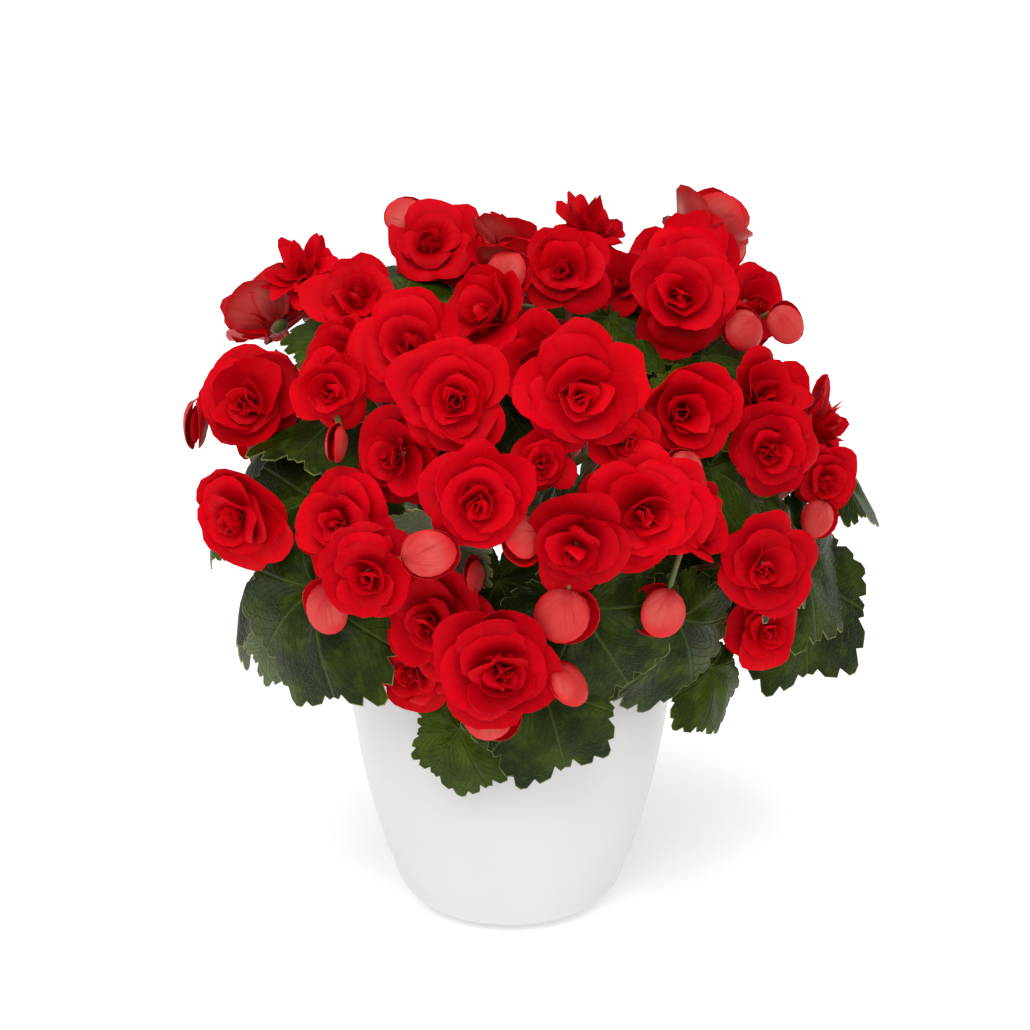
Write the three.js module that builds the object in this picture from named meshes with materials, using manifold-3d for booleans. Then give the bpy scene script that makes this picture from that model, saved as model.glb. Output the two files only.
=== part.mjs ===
// A double-flowered elatior begonia in a white glazed pot. Millimetres, +Z up.
// The origin is the middle of the pot's foot, and the plant's front faces -Y.
import * as THREE from "three";
import { mergeVertices } from "three/addons/utils/BufferGeometryUtils.js";
import Module from "manifold-3d";

const wasm = await Module();
wasm.setup();

// ---- driving dimensions ----
const gap = 0.3; // air between neighbouring solids
const pot = {
  rim: 70,
  height: 126,
  foot: 29,
  corner: 20.5,
  wall: 4.5,
  flare: 0.383, // how steeply the wall leaves the round corner
  upright: 0.068, // how steeply it reaches the rim
  lip: 0.8,
};
const growerPot = { foot: 29, knee: 37, kneeHeight: 11, mouth: 57, height: 106, wall: 1.2, lip: 3 };
const soil = { top: 97, mound: 5, shoulder: 34 };
const crown = { radius: 122, rise: 98, centre: 190 }; // the dome that the flowers' middles lie on
const petalThick = 0.8;
const leaf = { thick: 0.8, teeth: 7, sinus: 0.16 };
const stalk = { stem: 3.4, petiole: 1.6, pedicel: 1.5, bud: 1.4 };
const stems = { foot: 88, top: 205, ring: 20, spread: 16, count: 6, firstAzimuth: -20 };
const sideStalks = { lowest: 112, highest: 203 }; // the heights at which stalks leave a stem
const viewedFrom = { azimuth: 0, pitch: 21 }; // flowers that crowd each other sit back from this side

// ---- colours ----
const glaze = new THREE.MeshStandardMaterial({ color: "#eceae7", roughness: 0.35, metalness: 0 });
const blackPlastic = new THREE.MeshStandardMaterial({ color: "#25262a", roughness: 0.6, metalness: 0 });
const peat = new THREE.MeshStandardMaterial({ color: "#2e211a", roughness: 0.95, metalness: 0 });
const foliage = new THREE.MeshStandardMaterial({ color: "#2f4a22", roughness: 0.5, metalness: 0 });
const scarlet = new THREE.MeshStandardMaterial({ color: "#d20d1e", roughness: 0.55, metalness: 0 });

// ---- places and directions ----
const deg = Math.PI / 180;
const up = new THREE.Vector3(0, 0, 1);
const point = (x, y, z) => new THREE.Vector3(x, y, z);

// Azimuth 0 is the front (-Y) and azimuth 90 is +X.
function heading(azimuth, pitch) {
  const flat = Math.cos(pitch * deg);
  return point(Math.sin(azimuth * deg) * flat, -Math.cos(azimuth * deg) * flat, Math.sin(pitch * deg));
}

const polar = (azimuth, radius, height) => heading(azimuth, 0).multiplyScalar(radius).setZ(height);
const stepped = (from, way, distance) => from.clone().addScaledVector(way, distance);

function onCrown(azimuth, elevation, out) {
  const way = heading(azimuth, elevation);
  const grown = 1 + out / crown.radius;
  const reach = crown.radius * grown;
  return point(way.x * reach, way.y * reach, crown.centre + way.z * crown.rise * grown);
}

// A repeatable run of draws between -1 and 1.
function drawsFrom(seed) {
  let state = seed * 7919 + 17;
  return () => {
    state = (state * 16807) % 2147483647;
    return (state / 2147483647) * 2 - 1;
  };
}

// ---- solids ----
// A solid is kept with its box, so that far neighbours are passed over quickly.
function solidOf(geometry) {
  const bare = geometry.index ? geometry.toNonIndexed() : geometry.clone();
  for (const name of Object.keys(bare.attributes)) {
    if (name !== "position") bare.deleteAttribute(name);
  }
  const merged = mergeVertices(bare, 1e-3);
  merged.computeBoundingBox();
  const shape = {
    numProp: 3,
    vertProperties: merged.attributes.position.array,
    triVerts: new Uint32Array(merged.index.array),
  };
  return { body: new wasm.Manifold(new wasm.Mesh(shape)), box: merged.boundingBox };
}

function fuse(solids) {
  const box = new THREE.Box3();
  for (const solid of solids) box.union(solid.box);
  return { body: solids.map((solid) => solid.body).reduce((all, next) => all.add(next)), box };
}

function cut(solid, tool) {
  return { body: solid.body.subtract(tool.body), box: solid.box };
}

function touches(a, b) {
  return a.box.intersectsBox(b.box) && a.body.intersect(b.body).getMesh().triVerts.length > 0;
}

// The first of several choices whose fattened solid is clear of everything around it. What is in the way but
// belongs to the same plant stem may be grown through when nothing else is left.
function firstClear(choices, make, around, what, crossable = []) {
  const isClear = (choice, others) => {
    const fat = make(choice, gap);
    return !others.some((other) => touches(fat, other));
  };
  const best = choices.find((choice) => isClear(choice, [...around, ...crossable]));
  const chosen = best ?? choices.find((choice) => isClear(choice, around));
  if (chosen === undefined) throw new Error("no room for " + what);
  return { choice: chosen, solid: make(chosen, 0) };
}

function meshOf(name, solid, material) {
  const made = solid.body.getMesh();
  const geometry = new THREE.BufferGeometry();
  geometry.setAttribute("position", new THREE.BufferAttribute(new Float32Array(made.vertProperties), 3));
  geometry.setIndex(new THREE.BufferAttribute(new Uint32Array(made.triVerts), 1));
  geometry.computeVertexNormals();
  const mesh = new THREE.Mesh(geometry, material.clone());
  mesh.name = name;
  return mesh;
}

function tube(points, radius, steps, sides) {
  const ring = Array.from({ length: sides }, (_, i) => {
    const turn = (i / sides) * 2 * Math.PI;
    return new THREE.Vector2(radius * Math.cos(turn), radius * Math.sin(turn));
  });
  const curve = new THREE.CatmullRomCurve3(points, false, "centripetal");
  const options = { steps, bevelEnabled: false, extrudePath: curve };
  return solidOf(new THREE.ExtrudeGeometry(new THREE.Shape(ring), options));
}

function lathe(profile, segments) {
  const points = profile.map(([r, z]) => new THREE.Vector2(r, z));
  return solidOf(new THREE.LatheGeometry(points, segments).rotateX(Math.PI / 2));
}

// A frame at a place, its +Z facing one way and its +Y as near as it can be to another.
function frameAt(place, facing, toward) {
  const z = facing.clone().normalize();
  const x = toward.clone().cross(z).normalize();
  const y = z.clone().cross(x);
  return new THREE.Matrix4().makeBasis(x, y, z).setPosition(place);
}

// ---- pots and soil ----
// The side of the pot, from the middle of its foot up to the rim: a flat, a round corner and a flaring wall.
function potSide(inset, cornerShares, wallShares) {
  const round = pot.corner - inset;
  const stop = Math.PI / 2 - Math.atan(pot.flare);
  const corner = cornerShares.map((share) => {
    const turn = share * stop;
    return [pot.foot + round * Math.sin(turn), inset + round * (1 - Math.cos(turn))];
  });
  const [lowRadius, lowHeight] = corner.at(-1);
  const span = pot.height - pot.lip - lowHeight;
  const wall = wallShares.map((u) => {
    const fromLow = 2 * u ** 3 - 3 * u ** 2 + 1;
    const leaving = (u ** 3 - 2 * u ** 2 + u) * span * pot.flare;
    const arriving = (u ** 3 - u ** 2) * span * pot.upright;
    const radius = fromLow * lowRadius + leaving + (1 - fromLow) * (pot.rim - inset) + arriving;
    return [radius, lowHeight + span * u];
  });
  return [[0, inset], ...corner, ...wall];
}

function makePot() {
  const outside = potSide(0, [0, 0.35, 0.7, 1], [0.25, 0.5, 0.75, 1]);
  const inside = potSide(pot.wall, [0, 1], [0.4, 1]).reverse();
  const lip = [[pot.rim - pot.wall * 0.3, pot.height], [pot.rim - pot.wall * 0.7, pot.height]];
  return lathe([...outside, ...lip, ...inside], 30);
}

// The bought pot that the plant grew in, standing inside the white one.
function makeGrowerPot() {
  const g = growerPot;
  const low = pot.wall + gap;
  const outside = [
    [0, low],
    [g.foot, low],
    [g.knee, g.kneeHeight],
    [g.mouth, g.height - g.lip],
    [g.mouth + g.lip, g.height - g.lip],
    [g.mouth + g.lip, g.height],
  ];
  const inside = [
    [g.mouth - g.wall, g.height],
    [g.knee - g.wall, g.kneeHeight + g.wall * 0.6],
    [g.foot - g.wall * 0.4, low + g.wall],
    [0, low + g.wall],
  ];
  return lathe([...outside, ...inside], 16);
}

function makeSoil() {
  const g = growerPot;
  const floor = pot.wall + g.wall + 2 * gap;
  const clear = g.wall + 2 * gap;
  const share = (soil.top - g.kneeHeight) / (g.height - g.kneeHeight);
  const profile = [
    [0, floor],
    [g.foot - clear, floor],
    [g.knee - clear, g.kneeHeight + 1.2],
    [g.knee + (g.mouth - g.knee) * share - clear, soil.top],
    [soil.shoulder, soil.top + soil.mound * 0.7],
    [0, soil.top + soil.mound],
  ];
  const ground = lathe(profile, 16);
  return stemAzimuths.reduce((left, azimuth) => {
    const over = soil.top + soil.mound + 5;
    const ends = [polar(azimuth, stems.ring, stems.foot), polar(azimuth, stems.ring, over)];
    return cut(left, tube(ends, stalk.stem + gap + 0.5, 1, 6));
  }, ground);
}

// ---- flowers ----
// A flower is one closed skin of nested cups. Each row of the skin: distance out and height as shares of
// the flower's radius, which face of the petals it lies on, their slope in degrees, and the cup's lobes.
const outerLobes = { petals: 4, notch: 0.84, shift: 0 };
const innerLobes = { petals: 4, notch: 0.82, shift: 2 };
const heartLobes = { petals: 3, notch: 0.7, shift: 1 };
const narrowLobes = { petals: 6, notch: 0.6, shift: 0 };
const narrowInnerLobes = { petals: 6, notch: 0.6, shift: 1 };
const roundLobes = { petals: 5, notch: 0.86, shift: 0 };
const roundInnerLobes = { petals: 5, notch: 0.84, shift: 1 };
// One edge of a petal lies over its neighbour and the other under it.
const overlap = { over: 0.06, under: -0.05, swing: 0.08 };
const forms = {
  rose: {
    columns: 12,
    rows: [
      [0, -0.2, 0, 0],
      [1.04, 0.22, -1, 12, outerLobes],
      [1.04, 0.22, 1, 12, outerLobes],
      [0.16, 0.02, 0, 0],
      [0.7, 0.42, -1, 38, innerLobes],
      [0.7, 0.42, 1, 38, innerLobes],
      [0.1, 0.14, 0, 0],
      [0.36, 0.5, 0, 0, heartLobes],
      [0, 0.26, 0, 0],
    ],
  },
  plain: {
    columns: 10,
    rows: [
      [0, -0.2, 0, 0],
      [1.04, 0.22, -1, 14, roundLobes],
      [1.04, 0.22, 1, 14, roundLobes],
      [0.16, 0.04, 0, 0],
      [0.68, 0.46, -1, 40, roundInnerLobes],
      [0.68, 0.46, 1, 40, roundInnerLobes],
      [0.2, 0.2, 0, 0],
      [0, 0.5, 0, 0],
    ],
  },
  cup: {
    columns: 10,
    rows: [
      [0, -0.24, 0, 0],
      [0.96, 0.58, -1, 42, roundLobes],
      [0.96, 0.58, 1, 42, roundLobes],
      [0.16, 0.06, 0, 0],
      [0.58, 0.68, -1, 52, roundInnerLobes],
      [0.58, 0.68, 1, 52, roundInnerLobes],
      [0.18, 0.24, 0, 0],
      [0, 0.66, 0, 0],
    ],
  },
  star: {
    columns: 12,
    rows: [
      [0, -0.22, 0, 0],
      [1.04, 0.36, -1, 24, narrowLobes],
      [1.04, 0.36, 1, 24, narrowLobes],
      [0.16, 0.06, 0, 0],
      [0.68, 0.6, -1, 44, narrowInnerLobes],
      [0.68, 0.6, 1, 44, narrowInnerLobes],
      [0.18, 0.24, 0, 0],
      [0, 0.62, 0, 0],
    ],
  },
};

function flowerGeometry(form, radius, seed, fat) {
  const { columns, rows } = forms[form];
  const draw = drawsFrom(seed);
  const spread = Array.from({ length: columns }, () => 1 + 0.06 * draw());
  const lift = Array.from({ length: columns }, () => 0.05 * draw());
  const half = petalThick / 2 + fat;
  const profile = rows.map(([out, height]) => new THREE.Vector2(out, height));
  const skin = new THREE.LatheGeometry(profile, columns);
  const position = skin.getAttribute("position");
  for (let i = 0; i < position.count; i++) {
    const column = Math.floor(i / rows.length) % columns;
    const [out, height, side, slope, lobes] = rows[i % rows.length];
    let reach = out * radius;
    let rise = height * radius;
    let swing = 0;
    if (lobes) {
      const perPetal = columns / lobes.petals;
      const place = (column + lobes.shift) % perPetal;
      const which = Math.floor((column + lobes.shift) / perPetal) % lobes.petals;
      if (place === 0) {
        reach *= lobes.notch;
        rise *= lobes.notch;
      } else {
        reach *= spread[which + lobes.petals];
        rise += (lift[which] + (place === 1 ? overlap.over : overlap.under)) * radius;
      }
      if (place === 1) swing = -overlap.swing;
      if (place === perPetal - 1) swing = overlap.swing;
      reach += fat;
    }
    reach -= side * half * Math.sin(slope * deg);
    rise += side * half * Math.cos(slope * deg);
    const turn = (column / columns) * 2 * Math.PI + swing;
    position.setXYZ(i, reach * Math.cos(turn), reach * Math.sin(turn), rise);
  }
  return skin;
}

// A closed bud: two thick tepals pressed together like a shell.
function budGeometry(radius, fat) {
  const rows = [[0, -0.8], [0.94, -0.5], [0.94, 0.5], [0, 0.8]];
  const profile = rows.map(([r, z]) => new THREE.Vector2(r, z));
  const shell = new THREE.LatheGeometry(profile, 7).rotateX(Math.PI / 2);
  return shell.scale(radius + fat, radius * 0.9 + fat, radius * 0.5 + fat);
}

// One row a flower, the foremost first: azimuth, elevation and distance out on the crown, diameter,
// the azimuth and pitch it faces, and its form.
const frontFlowers = [
  [-3, -22, 3, 52, 5, 10, "rose"],
  [12, 9, 2, 40, -8, 4, "plain"],
  [18, 41, 2, 50, 5, 24, "rose"],
  [-14, 41, 2, 46, -3, 26, "rose"],
  [-6, 19, 2, 43, -5, 14, "rose"],
  [-26, 0, 2, 40, -5, 12, "rose"],
  [79, 55, 2, 48, 2, 28, "rose"],
  [-82, 25, -3, 48, -16, 24, "rose"],
  [54, 77, 0, 38, -8, 32, "plain"],
  [70, -31, 8, 33, 22, 12, "plain"],
  [57, -8, 2, 41, 18, 16, "plain"],
  [86, 1, 9, 29, 16, 10, "plain"],
  [63, 18, 1, 38, 0, 8, "plain"],
  [-46, 37, 2, 32, -8, 16, "plain"],
  [-33, 52, 0, 44, -8, 36, "plain"],
  [-34, 10, 0, 44, -30, 24, "plain"],
  [26, 15, 2, 50, 5, 15, "rose"],
  [37, 9, 0, 36, 62, 24, "cup"],
  [44, 34, 0, 42, 10, 24, "cup"],
  [-24, 27, 0, 40, -30, 10, "plain"],
  [-63, 1, 0, 45, -30, 0, "plain"],
  [-74, 58, 0, 40, -5, 52, "plain"],
  [90, 13, 10, 38, 70, 24, "star"],
  [-15, -11, 0, 46, -26, 14, "plain"],
  [-20, -25, 5, 40, -30, 2, "plain"],
  [9, 50, -2, 42, -14, 38, "cup"],
  [7, 27, -6, 25, 0, 24, "plain"],
  [27, 30, -8, 28, 18, 18, "plain"],
  [-53, 46, -4, 36, -34, 46, "cup"],
  [72, 28, 0, 40, 28, 36, "cup"],
  [104, 39, 12, 38, 46, 26, "plain"],
  [112, 52, 8, 52, 20, 36, "plain"],
  [111, 54, 30, 45, 150, 34, "cup"],
  [-110, 47, 12, 36, -24, 46, "star"],
  [-105, 37, 8, 48, -142, 33, "cup"],
  [-147, 62, 0, 45, -14, 48, "plain"],
  [142, 65, 6, 37, 62, 60, "star"],
  [-177, 74, -2, 37, 146, 56, "cup"],
  [-9, 64, 0, 42, -50, 40, "cup"],
  [70, 67, 0, 34, -16, 42, "plain"],
];
const backFlowers = [
  [116, 14, 0, 48, 112, 20, "plain"],
  [140, 34, 0, 48, 138, 38, "plain"],
  [148, -4, 0, 48, 150, 8, "plain"],
  [174, 16, 0, 50, 176, 22, "plain"],
  [-166, 44, 0, 48, -168, 48, "plain"],
  [-156, -6, 0, 46, -154, 6, "star"],
  [-146, 22, 0, 48, -146, 28, "plain"],
  [-120, 4, 0, 48, -120, 12, "plain"],
  [-128, 40, 0, 44, -126, 44, "cup"],
  [166, 58, -2, 44, 166, 60, "plain"],
  [180, 86, -4, 40, 170, 78, "cup"],
];
// What else grows on the same stalk as a flower: which flower, azimuth, elevation and distance out on the
// crown, diameter, the azimuth and pitch it faces (a bud's broad side), and its form.
const companions = [
  [0, -5, -38, 6, 23, 0, 0, "bud"],
  [0, 12, -29, 4, 18, 60, 40, "bud"],
  [5, -15, 6, -2, 21, -10, 16, "bud"],
  [1, 2, 10, -3, 18, 44, 10, "bud"],
  [1, 10, -10, -3, 22, 4, 0, "bud"],
  [17, 30, -12, 0, 20, 16, 6, "bud"],
  [15, -38, -14, -2, 20, -30, 6, "bud"],
  [23, -7, 0, -5, 14, 70, 10, "bud"],
  [21, -47, 64, -6, 14, 0, 40, "bud"],
  [38, -4, 80, -4, 18, -6, 34, "bud"],
  [30, 98, 33, 14, 17, 40, 24, "bud"],
  [30, 86, 40, 2, 17, 30, 20, "bud"],
  [18, 38, 20, -4, 17, 10, 16, "bud"],
  [11, 84, -8, 6, 15, 20, 6, "bud"],
  [7, -90, 12, 10, 20, -112, 0, "bud"],
  [13, -40, 26, -6, 14, 62, 10, "bud"],
  [35, -146, 55, 18, 17, -20, 40, "bud"],
  [32, 110, 50, 28, 20, 40, 20, "bud"],
  [42, 126, -16, 2, 40, 124, -4, "cup"],
  [43, 168, -14, 2, 22, 168, 0, "bud"],
  [44, 165, 34, -4, 36, 160, 40, "cup"],
  [46, -130, -18, 2, 40, -136, -6, "cup"],
  [48, -104, 22, 0, 38, -106, 30, "plain"],
  [47, -172, 30, -2, 24, -172, 30, "bud"],
];

function placeFlowers(around) {
  const front = heading(viewedFrom.azimuth, viewedFrom.pitch);
  const placed = [];
  [...frontFlowers, ...backFlowers].forEach((row, index) => {
    const [azimuth, elevation, out, across, faceAzimuth, facePitch, form] = row;
    const radius = across / 2;
    const facing = heading(faceAzimuth, facePitch);
    const outward = index < frontFlowers.length ? front.clone() : heading(azimuth, elevation);
    const inward = outward.negate();
    const wanted = stepped(onCrown(azimuth, elevation, out), facing, -0.2 * radius);
    const own = companions.filter(([host]) => host === index);
    const make = (depth, fat) => {
      const host = { place: stepped(wanted, inward, depth), facing, radius };
      const skin = flowerGeometry(form, radius, index + 1, fat);
      const shift = inward.clone().multiplyScalar(depth);
      const guests = own.flatMap((guest) => makeCompanion(guest, host, shift, fat));
      return fuse([solidOf(skin.applyMatrix4(frameAt(host.place, facing, up))), ...guests]);
    };
    const depths = Array.from({ length: 36 }, (_, step) => step * 1.5);
    const others = [...around, ...placed.map((flower) => flower.solid)];
    const { choice, solid } = firstClear(depths, make, others, "flower " + (index + 1));
    const place = stepped(wanted, inward, choice);
    const tail = forms[form].rows[0][1] * radius;
    placed.push({ solid, facing, azimuth, base: stepped(place, facing, tail - gap) });
  });
  return placed;
}

// A bud or a second flower, with the stalk that joins it to its host under the petals.
function makeCompanion(row, host, shift, fat) {
  const [, azimuth, elevation, out, across, faceAzimuth, facePitch, form] = row;
  const place = onCrown(azimuth, elevation, out).add(shift);
  const facing = heading(faceAzimuth, facePitch);
  const radius = across / 2;
  const blank = form === "bud" ? budGeometry(radius, fat) : flowerGeometry(form, radius, azimuth + 400, fat);
  const aside = place.clone().sub(host.place);
  aside.addScaledVector(host.facing, -aside.dot(host.facing)).normalize();
  const elbow = stepped(stepped(host.place, aside, 0.45 * host.radius), host.facing, -0.22 * host.radius);
  const end = stepped(host.place, host.facing, -0.1 * host.radius);
  const link = tube([place, elbow, end], stalk.bud + fat, 2, 3);
  return [solidOf(blank.applyMatrix4(frameAt(place, facing, up))), link];
}

// ---- leaves ----
// One row a leaf: azimuth, radius and height of the place where its veins meet, azimuth and pitch toward its
// tip, azimuth and pitch that it faces, and its length.
const leaves = [
  [-47, 105, 168, -75, -68, -30, 20, 48],
  [15, 102, 170, 70, -58, 15, 30, 43],
  [8, 92, 134, -30, -72, 5, 15, 38],
  [-13, 90, 114, -24, -80, -12, 6, 28],
  [38, 108, 160, 64, -72, 30, 15, 43],
  [86, 116, 162, 104, -50, 50, 30, 43],
  [70, 116, 186, 95, -42, 70, 45, 36],
  [-70, 98, 136, -92, -62, -165, 22, 21],
  [-82, 119, 179, -94, -62, -70, 30, 22],
  [-54, 96, 200, -110, 20, -60, 50, 33],
  [58, 97, 125, 64, -68, 45, 18, 26],
  [88, 116, 148, 80, -58, 22, 18, 47],
  [88, 130, 198, 92, -36, 72, 46, 34],
  [-75, 62, 258, -90, 10, -60, 60, 28],
  [74, 42, 262, 50, -20, 16, 44, 26],
  [52, 84, 240, 70, 5, 45, 50, 28],
  [-42, 78, 205, -60, 0, -40, 40, 21],
  [-18, 88, 188, -15, 60, 160, 20, 30],
  [34, 94, 180, 30, -30, 34, 40, 28],
  [110, 104, 150, 115, -55, 110, 30, 46],
  [135, 96, 165, 135, -40, 135, 40, 43],
  [160, 100, 146, 165, -60, 160, 30, 46],
  [-175, 94, 168, -175, -35, -175, 45, 41],
  [-150, 100, 148, -150, -58, -150, 30, 46],
  [-125, 98, 162, -120, -45, -125, 40, 43],
  [-98, 104, 146, -98, -60, -98, 30, 41],
  [152, 80, 222, 152, 5, 150, 60, 31],
  [-140, 80, 222, -140, 5, -140, 60, 31],
  [-2, 62, 240, 10, -50, 0, 40, 32],
  [58, 94, 210, 56, -46, 30, 34, 29],
  [100, 54, 232, 100, -8, 100, 60, 32],
  [-74, 56, 226, -74, -8, -74, 60, 32],
  [-60, 36, 258, -60, -10, -30, 56, 28],
  [-3, 84, 176, -3, -50, -3, 36, 32],
  [53, 90, 170, 66, -50, 30, 30, 30],
  [72, 82, 250, 72, -5, 50, 50, 32],
  [-84, 84, 214, -84, -24, -70, 46, 32],
  [118, 44, 254, 118, 0, 60, 60, 30],
  [-170, 50, 226, -170, 0, -170, 66, 30],
  [-112, 48, 254, -112, 0, -40, 60, 30],
];
const largeLeaf = 42; // leaves at least this long also bend across their middle
const petioleShare = 0.28; // how far from the sinus toward the tip the petiole is fixed

// The middle surface of a blade: rings about the place where its veins meet, out to a toothed edge.
function bladeSurface(length, seed) {
  const draw = drawsFrom(seed + 100);
  const columns = leaf.teeth * 2;
  const rings = length < largeLeaf ? [0, 1] : [0, 0.55, 1];
  const lean = 0.12 * Math.sign(draw());
  const edge = Array.from({ length: columns }, (_, column) => {
    const turn = (column / columns) * 2 * Math.PI;
    const tooth = (column % 2 === 0 ? 1.08 : 0.84) * (1 + 0.04 * draw());
    const outline = (0.7 + 0.3 * Math.cos(turn)) * (1 + lean * Math.sin(turn));
    return length * (column === leaf.teeth ? leaf.sinus : outline * tooth);
  });
  const waves = edge.map(() => 0.05 * draw());
  const curl = 0.3 + 0.1 * draw();
  const at = (column, out) => {
    const turn = (column / columns) * 2 * Math.PI;
    const reach = out * edge[column];
    const drop = (curl * reach * reach) / length;
    return point(reach * Math.sin(turn), reach * Math.cos(turn), waves[column] * out * length - drop);
  };
  const slopeAt = (column, out) => (2 * curl * out * edge[column]) / length;
  return { columns, rings, at, slopeAt };
}

function leafGeometry(length, seed, fat) {
  const { columns, rings, at, slopeAt } = bladeSurface(length, seed);
  const faces = [...rings.map((out) => [out, 1]), ...rings.map((out) => [out, -1]).reverse()];
  const profile = faces.map(([out]) => new THREE.Vector2(out, 0));
  const blade = new THREE.LatheGeometry(profile, columns);
  const position = blade.getAttribute("position");
  for (let i = 0; i < position.count; i++) {
    const column = Math.floor(i / faces.length) % columns;
    const [out, side] = faces[i % faces.length];
    const middle = at(column, out);
    const grown = out === 1 ? 1 + fat / Math.hypot(middle.x, middle.y) : 1;
    const offset = side * (leaf.thick / 2 + fat) * Math.hypot(1, slopeAt(column, out));
    position.setXYZ(i, middle.x * grown, middle.y * grown, middle.z + offset);
  }
  return blade;
}

function petioleEnd(length, seed) {
  const { rings, at } = bladeSurface(length, seed);
  return at(0, rings[1]).multiplyScalar(petioleShare / rings[1]);
}

function placeLeaves(around) {
  const front = heading(viewedFrom.azimuth, viewedFrom.pitch);
  const placed = [];
  leaves.forEach((row, index) => {
    const [azimuth, radius, height, tipAzimuth, tipPitch, faceAzimuth, facePitch, length] = row;
    const seenAtFront = Math.abs(azimuth) < 95;
    const inward = seenAtFront ? front.clone().negate() : heading(azimuth, 0).negate();
    const choices = [];
    for (let depth = 0; depth <= 36; depth += 3) {
      for (const tilt of [0, -12, 12, -24, 24]) choices.push({ depth, tilt });
    }
    const lay = ({ depth, tilt }) => {
      const tip = heading(tipAzimuth, tipPitch + tilt);
      const facing = heading(faceAzimuth, facePitch + tilt);
      facing.addScaledVector(tip, -facing.dot(tip)).normalize();
      const place = stepped(polar(azimuth, radius, height), inward, depth);
      return { tip, facing, frame: frameAt(place, facing, tip) };
    };
    const make = (choice, fat) => {
      const blade = leafGeometry(length, index + 1, fat);
      return solidOf(blade.applyMatrix4(lay(choice).frame));
    };
    const others = [...around, ...placed.map((blade) => blade.solid)];
    const { choice, solid } = firstClear(choices, make, others, "leaf " + (index + 1));
    const { tip, facing, frame } = lay(choice);
    const end = petioleEnd(length, index + 1).applyMatrix4(frame);
    placed.push({ solid, azimuth, end, arriving: tip.clone().add(facing).normalize() });
  });
  return placed;
}

// ---- stems ----
const stemAzimuths = Array.from({ length: stems.count }, (_, i) => {
  return stems.firstAzimuth + (i * 360) / stems.count;
});

function stemPoint(azimuth, height) {
  const share = Math.max(0, (height - sideStalks.lowest) / (stems.top - sideStalks.lowest));
  return polar(azimuth, stems.ring + stems.spread * share ** 1.3, height);
}

function nearestStem(azimuth) {
  const away = (other) => Math.abs(((azimuth - other + 540) % 360) - 180);
  return stemAzimuths.reduce((best, other, i) => (away(other) < away(stemAzimuths[best]) ? i : best), 0);
}

function makeStem(azimuth) {
  const heights = [stems.foot + gap, 96, 104, sideStalks.lowest, 135, 158, 182, stems.top];
  const points = heights.map((height) => stemPoint(azimuth, height));
  return tube(points, stalk.stem, 6, 5);
}

// A side stalk runs from the stem to an end that it reaches along a given direction.
function sideStalk({ stem, end, arriving, radius, steps, startHeight, around, crossable, what }) {
  const azimuth = stemAzimuths[stem];
  const choices = [];
  for (const shift of [0, 14, -14]) {
    for (const raise of [0, 10, -10, 20, -20, 32, -32]) {
      for (const aside of [0, 7, -7, 14, -14, 22, -22, 32, -32]) {
        for (const straight of [9, 4, 14]) choices.push({ shift, raise, aside, straight });
      }
    }
  }
  const make = ({ shift, raise, aside, straight }, fat) => {
    const startAt = Math.min(sideStalks.highest, Math.max(sideStalks.lowest, startHeight + shift));
    const start = stemPoint(azimuth, startAt);
    const near = stepped(end, arriving, -straight);
    const middle = start.clone().lerp(near, 0.55);
    middle.addScaledVector(heading(azimuth + 90, 0), aside).addScaledVector(up, raise);
    return tube([start, middle, near, end], radius + fat, steps, 3);
  };
  return firstClear(choices, make, around, what, crossable).solid;
}

// Every stem carries the flowers and leaves on its own side. Their stalks leave it one above another, in the
// order of the heights that they run to.
function makePlant(potting) {
  const flowers = placeFlowers(potting);
  const flowerSolids = flowers.map((flower) => flower.solid);
  const blades = placeLeaves([...potting, ...flowerSolids]);
  const wanted = [
    ...flowers.map(({ base, facing, azimuth }, i) => {
      const what = "the stalk of flower " + (i + 1);
      return { end: base, arriving: facing, azimuth, radius: stalk.pedicel, steps: 2, what };
    }),
    ...blades.map((blade, i) => {
      const { end, arriving, azimuth } = blade;
      const what = "the petiole of leaf " + (i + 1);
      return { end, arriving, azimuth, radius: stalk.petiole, steps: 3, blade, what };
    }),
  ];
  const sprays = stemAzimuths.map((azimuth) => [makeStem(azimuth)]);
  stemAzimuths.forEach((_, stem) => {
    const mine = wanted.filter(({ azimuth }) => nearestStem(azimuth) === stem);
    mine.sort((a, b) => a.end.z - b.end.z);
    mine.forEach((side, i) => {
      const share = (i + 0.5) / mine.length;
      const startHeight = sideStalks.lowest + (sideStalks.highest - sideStalks.lowest) * share;
      const otherStems = sprays.flatMap((parts, other) => (other === stem ? [] : parts));
      const strange = blades.filter((blade) => nearestStem(blade.azimuth) !== stem);
      const own = blades.filter((blade) => nearestStem(blade.azimuth) === stem && blade !== side.blade);
      const strangeSolids = strange.map((blade) => blade.solid);
      const around = [...potting, ...flowerSolids, ...otherStems, ...strangeSolids];
      const crossable = own.map((blade) => blade.solid);
      sprays[stem].push(sideStalk({ ...side, stem, startHeight, around, crossable }));
    });
  });
  for (const blade of blades) sprays[nearestStem(blade.azimuth)].push(blade.solid);
  return { flowers, sprays };
}

// ---- assembly ----
const whitePot = makePot();
const plasticPot = makeGrowerPot();
const ground = makeSoil();
const { flowers, sprays } = makePlant([whitePot, plasticPot, ground]);

const begonia = new THREE.Group();
begonia.name = "potted_begonia";
begonia.add(meshOf("white_pot", whitePot, glaze));
begonia.add(meshOf("grower_pot", plasticPot, blackPlastic));
begonia.add(meshOf("soil", ground, peat));
sprays.forEach((parts, i) => begonia.add(meshOf("leafy_stem_" + (i + 1), fuse(parts), foliage)));
flowers.forEach(({ solid }, i) => {
  begonia.add(meshOf("flower_" + String(i + 1).padStart(2, "0"), solid, scarlet));
});

export default begonia;
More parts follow.
